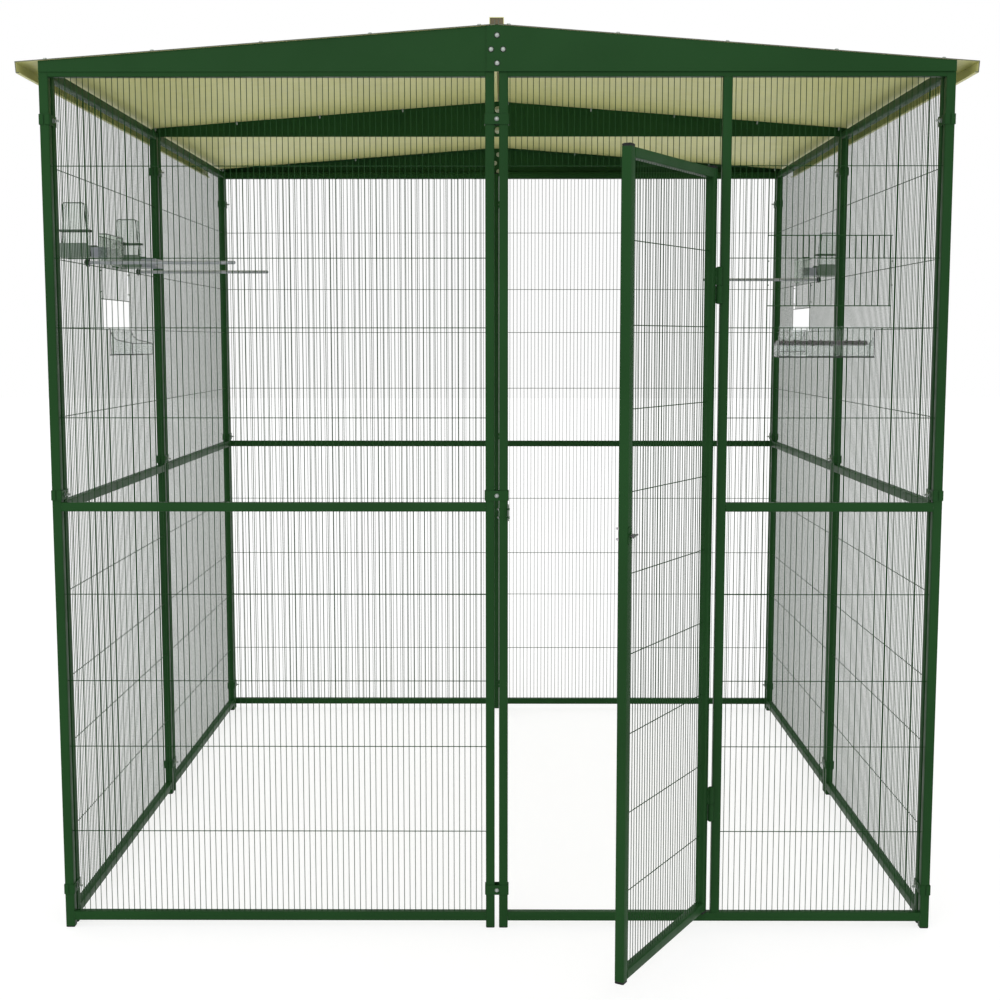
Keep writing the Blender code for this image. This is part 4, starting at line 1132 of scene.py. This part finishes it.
for name, panel in FEEDERS.items():
    low, high = box_on(f"feeder_{name}", WALLS[side_of(panel)])
    u, U, z, outer, inner_face = low.x, high.x, low.z, low.y, high.y
    tray_top, cup_top = z + 0.034, z + 0.024

    end = [(outer, z), (MESH_OUT, z), (MESH_OUT, cup_top), (MESH_OUT - 0.008, tray_top), (outer, tray_top)]
    walls = floor_and_wall(MESH_IN - 0.0004, outer + INSET, z, tray_top)
    tray = boxed(walls, end, u, U, WALL, WALL - 0.0002)
    end = [(MESH_IN, z), (inner_face, z), (inner_face, cup_top), (MESH_IN, cup_top)]
    walls = floor_and_wall(MESH_IN + 0.0002, inner_face - INSET, z, cup_top)
    cup = boxed(walls, end, u, U, WALL, WALL - 0.0002)

    foot = MESH_OUT - 0.0049
    side_view = ((foot + 0.0010, z + WALL), (foot, tray_top - 0.004), (foot - 0.0068, high.z - 0.0004),
                 (foot - 0.0583, high.z - 0.0004), (foot - 0.0633, z + WALL))
    rounded = [tuple(p) for p in round_corners(side_view, 0.006)]
    near, far = u + WALL + 0.0004, u + WALL + HOPPER_LONG
    hopper = boxed(fold(side_view, HOPPER_WALL, 0.006), rounded, near, far, HOPPER_WALL, 0.0002)
    # dark beads round both ends of the hopper are painted shade for its dark edges
    shade_beads = [wire([(at, *p) for p in rounded], thick) for at, thick in ((near, 0.0010), (far, 0.0006))]

    rim, back = tray_top + 0.027, foot - 0.0690
    band = [bar([(t, rim), (T, rim), (T, rim + 0.005), (t, rim + 0.005)], a, b, 0)
            for t, T, a, b in ((back, MESH_OUT, near - 0.0022, near), (back, MESH_OUT, far, far + 0.0022),
                               (back, back + 0.003, near, far), (MESH_OUT - 0.003, MESH_OUT, near, far))]
    for kind, shapes, finish, bevel in (
            ("seed_tray", tray, box_plastic, 0.0006), ("seed_cup", cup, cup_plastic, 0.0006),
            ("hopper", hopper, hopper_clear, 0.0003), ("hopper_edge_shade", shade_beads, dark_plastic_and_edge_shade, 0.0),
            ("hopper_rim", band, rim_plastic, 0.0)):
        piece(f"{kind}_{name}", shapes, finish, WALLS[side_of(panel)], f"feeder_{name}", "cage", bevel)
print("feeders", len(FEEDERS))

# %% [markdown]
# ## Guards and perches
#
# Two green clear guards keep the husks in, and a dark green wire on their top edge and front corners is
# painted shade. The perches are grey rods through the mesh, with a broad washer on each side of it and a
# nut outside.

# %% Guards and perches
GUARD_HALF = 0.00075             # half of the guards' thickness
for side in ("left", "right"):
    refinish(f"guard_{side}", guard_clear)
    low, high = box_on(f"guard_{side}", WALLS[side])
    u, U, front = low.x + GUARD_HALF, high.x - GUARD_HALF, high.y - GUARD_HALF
    # a dark green wire over the top edge and down the front corners paints their shade
    path = [(at, t, high.z - 0.0008) for at, t in ((u, low.y), (u, front), (U, front), (U, low.y))]
    edge = [wire(path, 0.0013), *(bar(circle(0.0008, 8), low.z, high.z, 2, (at, front)) for at in (u, U))]
    piece(f"guard_edge_{side}", edge, guard_edge_shade, WALLS[side])

WASHER = ((0.0, 0.0090), (0.0005, 0.0098), (0.0015, 0.0098), (0.0020, 0.0090))
ROD_NUT = ((0.0030, 0.0062), (0.0034, 0.0068), (0.0058, 0.0068), (0.0062, 0.0062))
for name, panel in FEEDERS.items():
    node, place = f"perch_{name}", WALLS[side_of(panel)]
    low, high = box_on(node, place)
    at = ((low.z + high.z) / 2, (low.x + high.x) / 2)
    rod = [(low.y + 0.0004, 0.0036), (low.y + 0.001, 0.0042), (high.y - 0.0030, 0.0042),
           (high.y - 0.0012, 0.0036), (high.y - 0.0003, 0.0020), (high.y, 0.0006)]
    piece(f"rod_{name}", [turned(rod, 1, at, 20)], perch_plastic, place, node)
    shapes = [turned([(start + t, radius) for t, radius in WASHER], 1, at, 28)
              for start in (MESH_OUT - 0.0020, MESH_IN)] + [turned(ROD_NUT, 1, at, 6)]
    piece(f"rod_washers_{name}", shapes, dark_plastic_and_edge_shade, place, node)
print("perches", len(FEEDERS))

# %% [markdown]
# ## Floor and light
#
# The photograph has a white ground with hardly a shadow. The floor is pale, and what the camera and
# mirrors see of it is lifted close to white while its shadow stays. The sky is even and soft, and
# one broad lamp ahead gives the front faces a little more light than the sides.

# %% Stage
def seen_directly(tree):
    """1 for rays from the camera, from a mirror-like surface or through clear plastic."""
    path = add(tree, "LightPath")
    total = path["Is Camera Ray"]
    for key in ("Is Glossy Ray", "Is Transmission Ray"):
        total = add(tree, "Math", {0: total, 1: path[key]}, operation="MAXIMUM")["Value"]
    return total


WHITE_LIFT = 0.785
floor_mesh = bpy.data.meshes.new("floor")
floor_mesh.from_pydata([(-30, -30, 0), (30, -30, 0), (30, 30, 0), (-30, 30, 0)], [], [(0, 1, 2, 3)])
floor = in_scene("floor", floor_mesh)
made, tree, shader = new_material("studio_floor")
pale = mixed(tree, spread(tree, grain(tree, 0.6), 0.3, 0.7), (0.80, 0.80, 0.79), (0.82, 0.82, 0.81))
fill(tree, shader, {
    "Base Color": mixed(tree, seen_directly(tree), pale, (0.26, 0.26, 0.26)), "Roughness": 0.9,
    "Emission Color": (1.0, 1.0, 1.0), "Emission Strength": times(tree, seen_directly(tree), WHITE_LIFT)})
floor_mesh.materials.append(made)
print("floor ready")

# %% Lights
SKY = 0.95
world = bpy.data.worlds.new("studio")
world.use_nodes = True
bpy.context.scene.world = world
strength = spread(world.node_tree, seen_directly(world.node_tree), 0.0, 1.0, SKY, 1.0)
fill(world.node_tree, world.node_tree.nodes["Background"], {"Strength": strength, "Color": (1.0, 1.0, 1.0)})

lamp_data = bpy.data.lights.new("front_softbox", "AREA")
lamp_data.shape = "RECTANGLE"
lamp_data.size, lamp_data.size_y = 5.0, 3.0
lamp_data.energy = 60.0
lamp = in_scene("front_softbox", lamp_data)
lamp.location = (-1.2, -6.0, 4.2)
lamp.rotation_euler = (Vector((0.0, 0.0, 1.0)) - lamp.location).to_track_quat("-Z", "Y").to_euler()

bpy.context.scene.view_settings.view_transform = "Standard"
print("sky", SKY, "lamp", lamp_data.energy)

# %% [markdown]
# ## Measure and finish
#
# The last cell counts the pieces and their faces.

# %% Finish
print("pieces", len(pieces), "faces", sum(len(made.data.polygons) for made in pieces))
